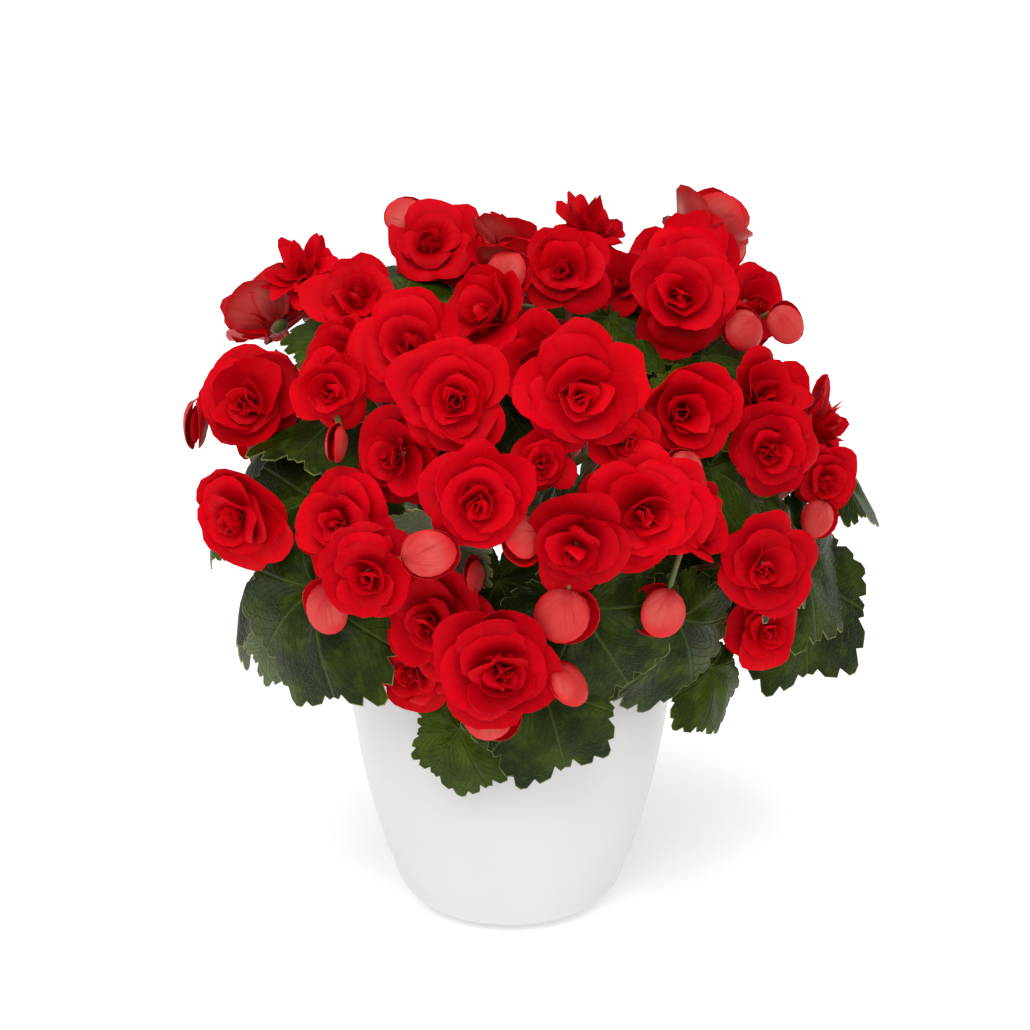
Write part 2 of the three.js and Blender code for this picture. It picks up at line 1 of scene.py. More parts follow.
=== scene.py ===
import random
from itertools import product
from math import atan, copysign, cos, exp, hypot, pi, radians, sin, sqrt
import bmesh
import bpy
import numpy as np
from mathutils import Matrix, Vector


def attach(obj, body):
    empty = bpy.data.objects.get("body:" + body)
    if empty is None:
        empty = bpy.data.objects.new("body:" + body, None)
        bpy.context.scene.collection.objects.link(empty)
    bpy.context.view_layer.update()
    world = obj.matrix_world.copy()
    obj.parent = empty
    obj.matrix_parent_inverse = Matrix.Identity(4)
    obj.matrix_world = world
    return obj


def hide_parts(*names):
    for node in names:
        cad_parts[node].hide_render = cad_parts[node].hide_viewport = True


# A double-flowered begonia in a white pot. Lengths are millimetres until a piece is finished.
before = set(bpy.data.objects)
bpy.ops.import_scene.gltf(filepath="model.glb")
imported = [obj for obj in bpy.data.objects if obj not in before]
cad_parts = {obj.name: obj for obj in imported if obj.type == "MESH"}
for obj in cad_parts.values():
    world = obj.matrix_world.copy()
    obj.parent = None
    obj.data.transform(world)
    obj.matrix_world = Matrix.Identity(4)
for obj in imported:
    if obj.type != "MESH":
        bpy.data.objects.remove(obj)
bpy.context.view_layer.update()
print("frame:", len(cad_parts), "nodes")

mm = 0.001
clearance = 0.3  # air between neighbouring solids
touching = 0.01  # corners this near to each other become one
tipRadius = 0.02  # where a stalk ends
creased = 1.0  # faces that meet at more than this, in radians, have a sharp edge between them
up = Vector((0, 0, 1))


def heading(azimuth, pitch):  # azimuth 0 is the front (-Y), 90 is +X
    a, p = radians(azimuth), radians(pitch)
    return Vector((sin(a) * cos(p), -cos(a) * cos(p), sin(p)))


def polar(azimuth, radius, height):
    spot = heading(azimuth, 0) * radius
    spot.z = height
    return spot


crownSet = {"radius": 122, "rise": 98, "middle": 190}  # the dome that flowers stand on


def onCrown(azimuth, elevation, out):
    radius, rise = crownSet["radius"], crownSet["rise"]
    way = heading(azimuth, elevation)
    grown = 1 + out / radius
    return Vector((way.x * radius * grown, way.y * radius * grown, crownSet["middle"] + way.z * rise * grown))


def frameAt(place, facing, toward):  # +Z faces one way, +Y comes as near as it can to another
    z = facing.normalized()
    x = toward.cross(z).normalized()
    y = z.cross(x)
    turned = Matrix((x, y, z)).transposed().to_4x4()
    turned.translation = place
    return turned


def nodePoints(name):
    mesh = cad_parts[name].data
    flat = np.zeros(len(mesh.vertices) * 3, np.float32)
    mesh.vertices.foreach_get("co", flat)
    return flat.reshape(-1, 3).astype(float) / mm


def miss(points, spot):  # how far the nearest corner of a solid is from a spot
    return float(np.sqrt(((points - np.array(spot)) ** 2).sum(1).min()))


def smoothStep(share):
    share = min(1, max(0, share))
    return share * share * (3 - 2 * share)


class Finish:
    def __init__(self, name, **values):
        self.material = bpy.data.materials.new(name)
        self.material.use_nodes = True
        self.tree = self.material.node_tree
        self.shader = self.tree.nodes["Principled BSDF"]
        for socket, value in values.items():
            self.shader.inputs[socket.replace("_", " ")].default_value = value

    def add(self, kind, inputs=(), **settings):
        node = self.tree.nodes.new("ShaderNode" + kind)
        for key, value in settings.items():
            setattr(node, key, value)
        for socket, value in dict(inputs).items():
            self.feed(node.inputs[socket], value)
        return node

    def feed(self, socket, value):
        if isinstance(value, bpy.types.NodeSocket):
            self.tree.links.new(value, socket)
        else:
            socket.default_value = value

    def math(self, operation, a, b=0.0, c=0.0):
        return self.add("Math", {0: a, 1: b, 2: c}, operation=operation).outputs[0]

    def times(self, a, b):
        return self.math("MULTIPLY", a, b)

    def timesPlus(self, a, b, c):
        return self.math("MULTIPLY_ADD", a, b, c)

    def ramp(self, value, low, high):  # 0 below low, 1 above high, smooth between
        inputs = {"Value": value, "From Min": low, "From Max": high}
        return self.add("MapRange", inputs, interpolation_type="SMOOTHSTEP").outputs[0]

    def mix(self, share, a, b):  # sockets 6 and 7 take colours
        return self.add("Mix", {0: share, 6: a, 7: b}, data_type="RGBA").outputs[2]

    def place(self):
        return self.add("TexCoord").outputs["Object"]

    def cloth(self):  # the piece's own UV: across, along
        split = self.add("SeparateXYZ", {0: self.add("UVMap", uv_map="UVMap").outputs[0]})
        return split.outputs[0], split.outputs[1]

    def mark(self, name):
        return self.add("Attribute", attribute_name=name).outputs["Fac"]

    def noise(self, scale, detail=2.0, roughness=0.5, spot=None):
        inputs = {"Vector": spot or self.place(), "Scale": scale, "Detail": detail, "Roughness": roughness}
        return self.add("TexNoise", inputs).outputs[0]

    def streaks(self, across, along, seed, detail, roughness=0.5, scale=1.0):  # noise drawn out along a petal
        spot = self.add("CombineXYZ", {0: across, 1: along, 2: seed}).outputs[0]
        return self.noise(scale, detail, roughness, spot)

    def colour(self, value):
        self.feed(self.shader.inputs["Base Color"], value)

    def rough(self, value):
        self.feed(self.shader.inputs["Roughness"], value)

    def bump(self, height, depth, strength, under=None):
        inputs = {"Height": height, "Distance": depth * mm, "Strength": strength}
        if under is not None:
            inputs["Normal"] = under
        normal = self.add("Bump", inputs).outputs[0]
        self.feed(self.shader.inputs["Normal"], normal)
        return normal


petalColours = {
    "bright": (0.66, 0.0002, 0.0078, 1),
    "deep": (0.27, 0.0002, 0.0035, 1),
    "scarlet": (0.70, 0.0006, 0.0045, 1),
    # painted highlight for the lit edges of the petals
    "rim": (0.74, 0.016, 0.026, 1),
    "coral": (0.54, 0.036, 0.034, 1),
    "pale": (0.60, 0.088, 0.074, 1),
    # the dark coral of the veins, also used as painted shade at the foot
    "coralVeinAndShade": (0.38, 0.003, 0.010, 1),
}


def makePetalFinish():
    c = petalColours
    f = Finish("petal_red", Specular_IOR_Level=0.03)
    across, along = f.cloth()
    tint = f.mark("tint")
    streaks = f.streaks(f.times(across, 26.0), f.times(along, 1.6), f.times(tint, 7.0), 3.0)
    cloud = f.noise(55.0, 2.0)
    # darker toward each petal's foot: painted shade where the petals overlap toward the heart
    body = f.mix(f.ramp(along, 0.05, 0.9), c["deep"], c["bright"])
    warm = f.times(f.ramp(f.noise(16.0), 0.35, 0.65), 0.6)
    body = f.mix(warm, body, c["scarlet"])
    # darker along the streaks and clouds, and by the tint mark: each petal's own tone, whose rise toward the
    # heart is painted shade
    shade = f.times(f.ramp(streaks, 0.35, 0.7), 0.14)
    shade = f.timesPlus(f.ramp(cloud, 0.3, 0.75), 0.12, shade)
    shade = f.timesPlus(f.ramp(tint, 0.0, 1.0), 0.5, shade)
    body = f.mix(shade, body, c["deep"])
    # a paler line in patches along the petal tips: painted highlight where light catches the edges
    rim = f.times(f.ramp(along, 0.965, 1.0), f.ramp(f.noise(28.0), 0.52, 0.72))
    rim = f.times(rim, 0.8)
    f.colour(f.mix(rim, body, c["rim"]))
    f.rough(f.timesPlus(cloud, 0.2, 0.38))
    grain = f.noise(1300.0, 2.0)
    f.bump(grain, 0.05, 0.5, under=f.bump(streaks, 0.22, 0.8))
    return f.material


def makePetalBackFinish():
    c = petalColours
    f = Finish("petal_back", Specular_IOR_Level=0.14)
    across, along = f.cloth()
    tint = f.mark("tint")
    coral = f.mark("coral")
    seed = f.times(tint, 9.0)
    streaks = f.streaks(f.times(across, 30.0), f.times(along, 1.2), seed, 4.0, 0.6)
    fineStreaks = f.streaks(f.times(across, 75.0), f.times(along, 2.2), seed, 3.0, 0.6)
    cloud = f.noise(60.0, 3.0)
    pale = f.mix(f.ramp(cloud, 0.4, 0.72), c["coral"], c["pale"])
    near = f.timesPlus(f.ramp(along, 0.1, 0.95), -0.55, 0.75)  # the streaks fade toward the tip
    broad = f.times(f.ramp(streaks, 0.5, 0.72), near)
    fine = f.times(f.ramp(fineStreaks, 0.52, 0.7), f.times(near, 0.6))
    # darker toward the foot: painted shade near the stalk
    foot = f.timesPlus(f.ramp(along, 0.0, 0.4), -0.6, 0.6)
    for share in (broad, fine, foot):
        pale = f.mix(share, pale, c["coralVeinAndShade"])
    pale = f.mix(f.times(f.ramp(along, 0.6, 1.0), 0.7), pale, c["bright"])
    red = f.mix(f.times(f.ramp(streaks, 0.4, 0.7), 0.3), c["bright"], c["deep"])
    f.colour(f.mix(f.ramp(coral, 0.0, 1.0), red, pale))
    f.rough(f.timesPlus(cloud, 0.25, 0.28))
    grain = f.noise(1500.0, 2.0)
    f.bump(grain, 0.05, 0.5, under=f.bump(streaks, 0.07, 0.7))
    return f.material


leafColours = {
    "deep": (0.0036, 0.0088, 0.0002, 1),
    "fresh": (0.048, 0.078, 0.0022, 1),
    "vein": (0.065, 0.105, 0.018, 1),
    "margin": (0.26, 0.27, 0.09, 1),
    "under": (0.20, 0.245, 0.135, 1),
    "underShade": (0.12, 0.16, 0.08, 1),
    "underVein": (0.34, 0.38, 0.21, 1),
}


# Veins of a blade: one main to each lobe fans out from the petiole, with pairs of side veins between them.
def veinPattern(f, lobes):
    across, along = f.cloth()
    wander = f.noise(90.0, 2.0)
    turn = f.timesPlus(across, float(lobes), 0.5)
    aside = f.math("ABSOLUTE", f.math("SUBTRACT", f.math("FRACT", turn), 0.5))
    width = f.timesPlus(wander, 0.012, f.times(aside, along))
    main = f.math("SUBTRACT", 1.0, f.ramp(width, 0.008, 0.032))
    climb = f.timesPlus(along, 6.5, f.times(aside, -5.5))
    climb = f.timesPlus(wander, 0.5, climb)
    rung = f.math("ABSOLUTE", f.math("SUBTRACT", f.math("FRACT", climb), 0.5))
    side = f.math("SUBTRACT", 1.0, f.ramp(rung, 0.02, 0.10))
    side = f.times(side, f.ramp(along, 0.12, 0.3))
    return along, main, side


def makeLeafFinish(name, underside):
    c = leafColours
    f = Finish(name, Specular_IOR_Level=0.08)
    along, main, side = veinPattern(f, leafSet["teeth"])
    tint = f.mark("tint")
    cells = f.add("TexVoronoi", {"Vector": f.place(), "Scale": 420.0}, feature="DISTANCE_TO_EDGE")
    cloud = f.noise(45.0, 3.0)
    margin = f.times(f.ramp(along, 0.93, 0.99), 0.85)
    if underside:
        raised = f.math("MAXIMUM", main, f.times(side, 0.5))
        shade = f.times(f.ramp(cloud, 0.3, 0.7), 0.5)
        body = f.mix(shade, c["under"], c["underShade"])
        body = f.mix(f.times(raised, 0.8), body, c["underVein"])
        f.rough(f.timesPlus(cloud, 0.2, 0.42))
    else:
        raised = f.times(f.math("MAXIMUM", main, f.times(side, 0.6)), -1.0)  # sunk, from above
        # the cloud and the lighter patches are partly the leaf's own uneven green and partly painted
        # highlight and shade for the sheen and relief of the quilted blade
        patches = f.times(f.ramp(f.noise(130.0, 2.0), 0.5, 0.68), 0.6)
        fresh = f.math("ADD", f.timesPlus(tint, 1.1, f.ramp(cloud, 0.38, 0.72)), patches)
        body = f.mix(f.times(fresh, 0.55), c["deep"], c["fresh"])
        body = f.mix(f.times(main, 0.5), body, c["vein"])
        body = f.mix(f.times(side, 0.25), body, c["vein"])
        f.rough(f.timesPlus(cloud, 0.22, 0.24))
    f.colour(f.mix(margin, body, c["margin"]))
    net = f.bump(f.ramp(cells.outputs[0], 0.0, 0.25), 0.2, 0.6)
    f.bump(raised, 1.1, 0.9, under=net)
    return f.material


stalkColours = {
    "green": (0.070, 0.115, 0.028, 1),
    "paleGreen": (0.13, 0.17, 0.05, 1),
    "red": (0.30, 0.030, 0.022, 1),
    "paleRed": (0.42, 0.085, 0.045, 1),
}


def makeStalkFinish():
    c = stalkColours
    f = Finish("stalk_green", Roughness=0.42, Specular_IOR_Level=0.4)
    across, along = f.cloth()
    blush = f.mark("coral")
    ribs = f.streaks(f.times(across, 9.0), f.times(along, 3.0), 0.3, 3.0, scale=1.5)
    cloud = f.noise(120.0, 3.0)
    patches = f.ramp(cloud, 0.3, 0.7)
    green = f.mix(patches, c["green"], c["paleGreen"])
    red = f.mix(patches, c["red"], c["paleRed"])
    reddened = f.times(f.ramp(f.math("ADD", along, f.times(cloud, 0.3)), 0.35, 1.1), blush)
    f.colour(f.mix(reddened, green, red))
    f.bump(ribs, 0.15, 0.7)
    return f.material


potColours = {
    "glaze": (0.655, 0.645, 0.640, 1),
    "paleGlaze": (0.690, 0.682, 0.676, 1),
    "plastic": (0.014, 0.014, 0.016, 1),
    "dust": (0.045, 0.038, 0.032, 1),
    "peat": (0.010, 0.0065, 0.0045, 1),
    "crumb": (0.050, 0.031, 0.020, 1),
    "dryPeat": (0.075, 0.050, 0.034, 1),
}


def makeGlazeFinish():
    c = potColours
    f = Finish("satin_white", Specular_IOR_Level=0.4, Coat_Weight=0.12, Coat_Roughness=0.18)
    cloud = f.noise(14.0, 3.0)
    speck = f.noise(900.0, 2.0)
    f.colour(f.mix(f.ramp(cloud, 0.3, 0.7), c["glaze"], c["paleGlaze"]))
    f.rough(f.timesPlus(speck, 0.1, 0.26))
    f.bump(speck, 0.02, 0.4, under=f.bump(cloud, 0.35, 0.5))
    return f.material


def makeBlackPlasticFinish():
    c = potColours
    f = Finish("black_plastic", Specular_IOR_Level=0.4)
    speck = f.noise(700.0, 3.0)
    dust = f.noise(60.0, 4.0)
    f.colour(f.mix(f.ramp(dust, 0.45, 0.8), c["plastic"], c["dust"]))
    f.rough(f.timesPlus(dust, 0.3, 0.35))
    f.bump(speck, 0.08, 0.6)
    return f.material


def makePeatFinish():
    c = potColours
    f = Finish("peat", Roughness=0.95, Specular_IOR_Level=0.15)
    crumbs = f.noise(330.0, 6.0, 0.7)
    cloud = f.noise(60.0, 3.0)
    body = f.mix(f.ramp(crumbs, 0.3, 0.7), c["peat"], c["crumb"])
    f.colour(f.mix(f.times(f.ramp(cloud, 0.5, 0.8), 0.5), body, c["dryPeat"]))
    f.bump(crumbs, 1.2, 0.9)
    return f.material


stalkIndex = 2  # a plant piece has the front finish first, then the back, then the stalk's


# Every blade, petal and stalk starts as a flat grid whose corners are then moved; across and along run from
# 0 to 1. The marks tint and coral tell the finishes how deep and how coral a skin is.
def startPiece():
    bm = bmesh.new()
    bm.loops.layers.uv.new("UVMap")
    bm.verts.layers.float.new("tint")
    bm.verts.layers.float.new("coral")
    return bm


def addSkin(bm, columns, rows, spotAt, finish, thick=0.0, backFinish=0, tint=0.5, coral=0.0, closed=False):
    verts = bmesh.ops.create_grid(bm, x_segments=columns, y_segments=rows, size=0.5, calc_uvs=True)["verts"]
    tints = bm.verts.layers.float["tint"]
    corals = bm.verts.layers.float["coral"]
    faces = list({face for vert in verts for face in vert.link_faces})
    for vert in verts:
        vert.co = spotAt(vert.co.x + 0.5, vert.co.y + 0.5)
        vert[tints] = tint
        vert[corals] = coral
    for face in faces:
        face.smooth = True
        face.material_index = finish
    if closed:
        bmesh.ops.remove_doubles(bm, verts=verts, dist=touching)
        faces = [face for face in faces if face.is_valid]
    if thick:
        bm.normal_update()
        out = bmesh.ops.solidify(bm, geom=faces, thickness=thick)
        for face in out["geom"]:
            if isinstance(face, bmesh.types.BMFace):
                face.smooth = True
                face.material_index = backFinish


def finishPiece(bm, name, finishes, slot, *nodes):
    bmesh.ops.scale(bm, vec=(mm, mm, mm), verts=bm.verts)
    bmesh.ops.recalc_face_normals(bm, faces=bm.faces)
    for edge in bm.edges:
        if len(edge.link_faces) == 2 and edge.calc_face_angle(0) > creased:
            edge.smooth = False
    mesh = bpy.data.meshes.new(name)
    bm.to_mesh(mesh)
    bm.free()
    for material in finishes:
        mesh.materials.append(material)
    piece = bpy.data.objects.new(name, mesh)
    bpy.context.scene.collection.objects.link(piece)
    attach(piece, "root")
    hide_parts(*nodes)


# A smooth curve through points, as shares of its length; it takes many candidate curves at once.
def curveSpots(controls, shares, samples=40):
    points = np.asarray(controls, float)
    first = 2 * points[:, :1] - points[:, 1:2]
    last = 2 * points[:, -1:] - points[:, -2:-1]
    padded = np.concatenate([first, points, last], 1)
    spans = points.shape[1] - 1
    runs = []
    for span in range(spans):
        x0, x1, x2, x3 = (padded[:, span + i] for i in range(4))
        pairs = ((x0, x1), (x1, x2), (x2, x3))
        d0, d1, d2 = (np.sqrt(np.linalg.norm(b - a, axis=1))[:, None] for a, b in pairs)
        t1 = ((x1 - x0) / d0 - (x2 - x0) / (d0 + d1) + (x2 - x1) / d1) * d1
        t2 = ((x2 - x1) / d1 - (x3 - x1) / (d1 + d2) + (x3 - x2) / d2) * d1
        c2 = -3 * x1 + 3 * x2 - 2 * t1 - t2
        c3 = 2 * x1 - 2 * x2 + t1 + t2
        stops = np.linspace(0, 1, samples + 1)[(1 if span else 0):]
        runs.append(np.stack([x1 + t1 * t + c2 * t * t + c3 * t ** 3 for t in stops], 1))
    line = np.concatenate(runs, 1)
    steps = np.linalg.norm(np.diff(line, axis=1), axis=2)
    lengths = np.concatenate([np.zeros((len(line), 1)), np.cumsum(steps, 1)], 1)
    lengths /= lengths[:, -1:]
    spots = np.empty((len(line), len(shares), 3))
    for i in range(len(line)):
        for axis in range(3):
            spots[i, :, axis] = np.interp(shares, lengths[i], line[i, :, axis])
    return spots


def addTube(bm, controls, radiusAt, rows, columns=8, tint=0.5, coral=0.0):  # round, with a tip at each end
    shares = np.linspace(0, 1, rows + 1)
    line = [Vector(spot) for spot in curveSpots([controls], shares)[0]]
    rings = []
    side = None
    for i, spot in enumerate(line):
        ahead = (line[min(i + 1, rows)] - line[max(i - 1, 0)]).normalized()
        if side is None:
            side = ahead.orthogonal().normalized()
        side = (side - ahead * side.dot(ahead)).normalized()
        rings.append((spot, side.copy(), ahead.cross(side)))

    def spotAt(across, along):
        row = round(along * rows)
        spot, x, y = rings[row]
        radius = tipRadius if row in (0, rows) else radiusAt(along)
        turn = across * 2 * pi
        return spot + x * (radius * cos(turn)) + y * (radius * sin(turn))

    addSkin(bm, columns, rows, spotAt, stalkIndex, tint=tint, coral=coral, closed=True)


# The lip's spots are given as shares of the wall's thickness and of the lip's own height.
potSet = {"rim": 70, "height": 126, "foot": 29, "corner": 20.5, "wall": 4.5, "flare": 0.383, "upright": 0.068,
          "lip": 0.8, "segments": 160, "outerSteps": (14, 30), "innerSteps": (10, 20),
          "lipSpots": ((0.06, 0.42), (0.16, 0.14), (0.3, 0), (0.7, 0), (0.84, 0.14), (0.94, 0.42))}
growerSet = {"foot": 29, "knee": 37, "kneeHeight": 11, "mouth": 57, "height": 106, "wall": 1.2, "lip": 3,
             "segments": 96}
soilSet = {"top": 97, "mound": 5, "rings": 18, "segments": 72, "rough": 0.9, "crumbs": 260, "spread": 52,
           "crumbSize": (0.7, 2.1), "seed": 4}


def potSide(inset, cornerSteps, wallSteps):  # from the middle of the floor up to the lip
    p = potSet
    bend = p["corner"] - inset
    stop = pi / 2 - atan(p["flare"])
    side = [(0, inset)]
    for i in range(cornerSteps + 1):
        turn = i / cornerSteps * stop
        side.append((p["foot"] + bend * sin(turn), inset + bend * (1 - cos(turn))))
    lowRadius, lowHeight = side[-1]
    span = p["height"] - p["lip"] - lowHeight
    for i in range(1, wallSteps + 1):
        u = i / wallSteps
        fromLow = 2 * u ** 3 - 3 * u ** 2 + 1
        leaving = (u ** 3 - 2 * u ** 2 + u) * span * p["flare"]
        arriving = (u ** 3 - u ** 2) * span * p["upright"]
        radius = fromLow * lowRadius + leaving + (1 - fromLow) * (p["rim"] - inset) + arriving
        side.append((radius, lowHeight + span * u))
    return side


def addLathe(bm, profile, segments):
    verts = [bm.verts.new((radius, 0, height)) for radius, height in profile]
    edges = [bm.edges.new(pair) for pair in zip(verts, verts[1:])]
    bmesh.ops.spin(bm, geom=verts + edges, cent=(0, 0, 0), axis=(0, 0, 1), angle=2 * pi, steps=segments,
                   use_merge=True)
    bmesh.ops.remove_doubles(bm, verts=bm.verts, dist=touching / 10)
    for face in bm.faces:
        face.smooth = True


def makePots(glaze, plastic, peat):
    p, g, s = potSet, growerSet, soilSet
    brim = [(p["rim"] - p["wall"] * share, p["height"] - p["lip"] * drop) for share, drop in p["lipSpots"]]
    outside, inside = potSide(0, *p["outerSteps"]), potSide(p["wall"], *p["innerSteps"])
    bm = startPiece()
    addLathe(bm, outside + brim + inside[::-1], p["segments"])
    finishPiece(bm, "cover_pot", [glaze], "white_glaze", "white_pot")

    low, top, mouth, lip, wall = p["wall"] + clearance, g["height"], g["mouth"], g["lip"], g["wall"]
    shell = [(0, low), (g["foot"], low), (g["foot"] + 2, low + 1), (g["knee"], g["kneeHeight"]),
             (mouth, top - lip - 0.4), (mouth + lip * 0.6, top - lip), (mouth + lip, top - lip * 0.7),
             (mouth + lip, top - 0.5), (mouth + lip * 0.8, top), (mouth - wall + 0.3, top),
             (mouth - wall, top - 0.4), (g["knee"] - wall, g["kneeHeight"] + 0.7),
             (g["foot"] - 0.5, low + wall), (0, low + wall)]
    bm = startPiece()
    addLathe(bm, shell, g["segments"])
    finishPiece(bm, "nursery_pot", [plastic], "black_plastic", "grower_pot")

    floor, clear = p["wall"] + wall + 2 * clearance, wall + 2 * clearance
    share = (s["top"] - g["kneeHeight"]) / (top - g["kneeHeight"])
    edge = g["knee"] + (mouth - g["knee"]) * share - clear
    draw = random.Random(s["seed"])
    bm = startPiece()
    shares = [i / s["rings"] for i in range(1, s["rings"] + 1)]
    mounds = [(edge * (1 - share), s["top"] + s["mound"] * smoothStep(share)) for share in shares]
    side = [(0, floor), (g["foot"] - clear, floor), (g["knee"] - clear, g["kneeHeight"] + 1.2)]
    addLathe(bm, side + [(edge, s["top"])] + mounds, s["segments"])
    for vert in bm.verts:
        if vert.co.z > s["top"] + 0.2:
            vert.co.z += draw.uniform(-s["rough"], s["rough"])
    for _ in range(s["crumbs"]):
        azimuth, reach = draw.uniform(0, 360), s["spread"] * sqrt(draw.random())
        size = draw.uniform(*s["crumbSize"])
        height = s["top"] + s["mound"] * smoothStep(1 - reach / edge)
        spot = Matrix.Translation(polar(azimuth, reach, height + size * 0.1))
        turn = Matrix.Rotation(draw.uniform(0, 6), 4, heading(draw.uniform(0, 360), draw.uniform(-90, 90)))
        flat = Matrix.Diagonal((1, draw.uniform(0.6, 1), draw.uniform(0.5, 0.8), 1))
        bmesh.ops.create_icosphere(bm, subdivisions=1, radius=size, matrix=spot @ turn @ flat)
    finishPiece(bm, "peat_soil", [peat], "peat", "soil")


viewedFrom = heading(0, 21)  # flowers that crowd each other sit back from this side
# One row a flower: azimuth, elevation and distance out on the crown, diameter, azimuth and pitch it faces,
# and its form.
frontFlowers = [
    (-3, -22, 3, 52, 5, 10, "rose"),
    (12, 9, 2, 40, -8, 4, "plain"),
    (18, 41, 2, 50, 5, 24, "rose"),
    (-14, 41, 2, 46, -3, 26, "rose"),
    (-6, 19, 2, 43, -5, 14, "rose"),
    (-26, 0, 2, 40, -5, 12, "rose"),
    (79, 55, 2, 48, 2, 28, "rose"),
    (-82, 25, -3, 48, -16, 24, "rose"),
    (54, 77, 0, 38, -8, 32, "plain"),
    (70, -31, 8, 33, 22, 12, "plain"),
    (57, -8, 2, 41, 18, 16, "plain"),
    (86, 1, 9, 29, 16, 10, "plain"),
    (63, 18, 1, 38, 0, 8, "plain"),
    (-46, 37, 2, 32, -8, 16, "plain"),
    (-33, 52, 0, 44, -8, 36, "plain"),
    (-34, 10, 0, 44, -30, 24, "plain"),
    (26, 15, 2, 50, 5, 15, "rose"),
    (37, 9, 0, 36, 62, 24, "cup"),
    (44, 34, 0, 42, 10, 24, "cup"),
    (-24, 27, 0, 40, -30, 10, "plain"),
    (-63, 1, 0, 45, -30, 0, "plain"),
    (-74, 58, 0, 40, -5, 52, "plain"),
    (90, 13, 10, 38, 70, 24, "star"),
    (-15, -11, 0, 46, -26, 14, "plain"),
    (-20, -25, 5, 40, -30, 2, "plain"),
    (9, 50, -2, 42, -14, 38, "cup"),
    (7, 27, -6, 25, 0, 24, "plain"),
    (27, 30, -8, 28, 18, 18, "plain"),
    (-53, 46, -4, 36, -34, 46, "cup"),
    (72, 28, 0, 40, 28, 36, "cup"),
    (104, 39, 12, 38, 46, 26, "plain"),
    (112, 52, 8, 52, 20, 36, "plain"),
    (111, 54, 30, 45, 150, 34, "cup"),
    (-110, 47, 12, 36, -24, 46, "star"),
    (-105, 37, 8, 48, -142, 33, "cup"),
    (-147, 62, 0, 45, -14, 48, "plain"),
    (142, 65, 6, 37, 62, 60, "star"),
    (-177, 74, -2, 37, 146, 56, "cup"),
    (-9, 64, 0, 42, -50, 40, "cup"),
    (70, 67, 0, 34, -16, 42, "plain"),
]
backFlowers = [
    (116, 14, 0, 48, 112, 20, "plain"),
    (140, 34, 0, 48, 138, 38, "plain"),
    (148, -4, 0, 48, 150, 8, "plain"),
    (174, 16, 0, 50, 176, 22, "plain"),
    (-166, 44, 0, 48, -168, 48, "plain"),
    (-156, -6, 0, 46, -154, 6, "star"),
    (-146, 22, 0, 48, -146, 28, "plain"),
    (-120, 4, 0, 48, -120, 12, "plain"),
    (-128, 40, 0, 44, -126, 44, "cup"),
    (166, 58, -2, 44, 166, 60, "plain"),
    (180, 86, -4, 40, 170, 78, "cup"),
]
# What else grows on a flower's stalk: which flower, its place, diameter, the way it faces, its form.
companions = [
    (0, -5, -38, 6, 23, 0, 0, "bud"),
    (0, 12, -29, 4, 18, 60, 40, "bud"),
    (5, -15, 6, -2, 21, -10, 16, "bud"),
    (1, 2, 10, -3, 18, 44, 10, "bud"),
    (1, 10, -10, -3, 22, 4, 0, "bud"),
    (17, 30, -12, 0, 20, 16, 6, "bud"),
    (15, -38, -14, -2, 20, -30, 6, "bud"),
    (23, -7, 0, -5, 14, 70, 10, "bud"),
    (21, -47, 64, -6, 14, 0, 40, "bud"),
    (38, -4, 80, -4, 18, -6, 34, "bud"),
    (30, 98, 33, 14, 17, 40, 24, "bud"),
    (30, 86, 40, 2, 17, 30, 20, "bud"),
    (18, 38, 20, -4, 17, 10, 16, "bud"),
    (11, 84, -8, 6, 15, 20, 6, "bud"),
    (7, -90, 12, 10, 20, -112, 0, "bud"),
    (13, -40, 26, -6, 14, 62, 10, "bud"),
    (35, -146, 55, 18, 17, -20, 40, "bud"),
    (32, 110, 50, 28, 20, 40, 20, "bud"),
    (42, 126, -16, 2, 40, 124, -4, "cup"),
    (43, 168, -14, 2, 22, 168, 0, "bud"),
    (44, 165, 34, -4, 36, 160, 40, "cup"),
    (46, -130, -18, 2, 40, -136, -6, "cup"),
    (48, -104, 22, 0, 38, -106, 30, "plain"),
    (47, -172, 30, -2, 24, -172, 30, "bud"),
]
# Where a solid flower ends behind and in front of its middle, as shares of its radius.
poles = {"rose": (-0.2, 0.26), "plain": (-0.2, 0.5), "cup": (-0.24, 0.66), "star": (-0.22, 0.62)}
# The steps back that are tried, and how near to a solid's ends counts as found.
settleSet = {"behind": 0.2, "step": 1.5, "steps": 36, "near": 0.5}


# Flowers and leaves were moved back until they were clear of each other; the solids show how far.
def settleFlower(index, row):
    s = settleSet
    azimuth, elevation, out, across, *faces, form = row
    radius, facing = across / 2, heading(*faces)
    inward = -viewedFrom if index < len(frontFlowers) else -heading(azimuth, elevation)
    wanted = onCrown(azimuth, elevation, out) - facing * s["behind"] * radius
    points = nodePoints("flower_%02d" % (index + 1))
    tail, top = poles[form]

    def gapAt(step):
        place = wanted + inward * (step * s["step"])
        return miss(points, place + facing * tail * radius) + miss(points, place + facing * top * radius)

    step = min(range(s["steps"]), key=gapAt)
    if gapAt(step) > s["near"]:
        print("flower", index + 1, "is off by", round(gapAt(step), 2))
    shift = inward * (step * s["step"])
    place = wanted + shift
    return {"index": index, "place": place, "facing": facing, "radius": radius, "form": form, "shift": shift,
            "azimuth": azimuth, "end": place + facing * (tail * radius - clearance), "arriving": facing}


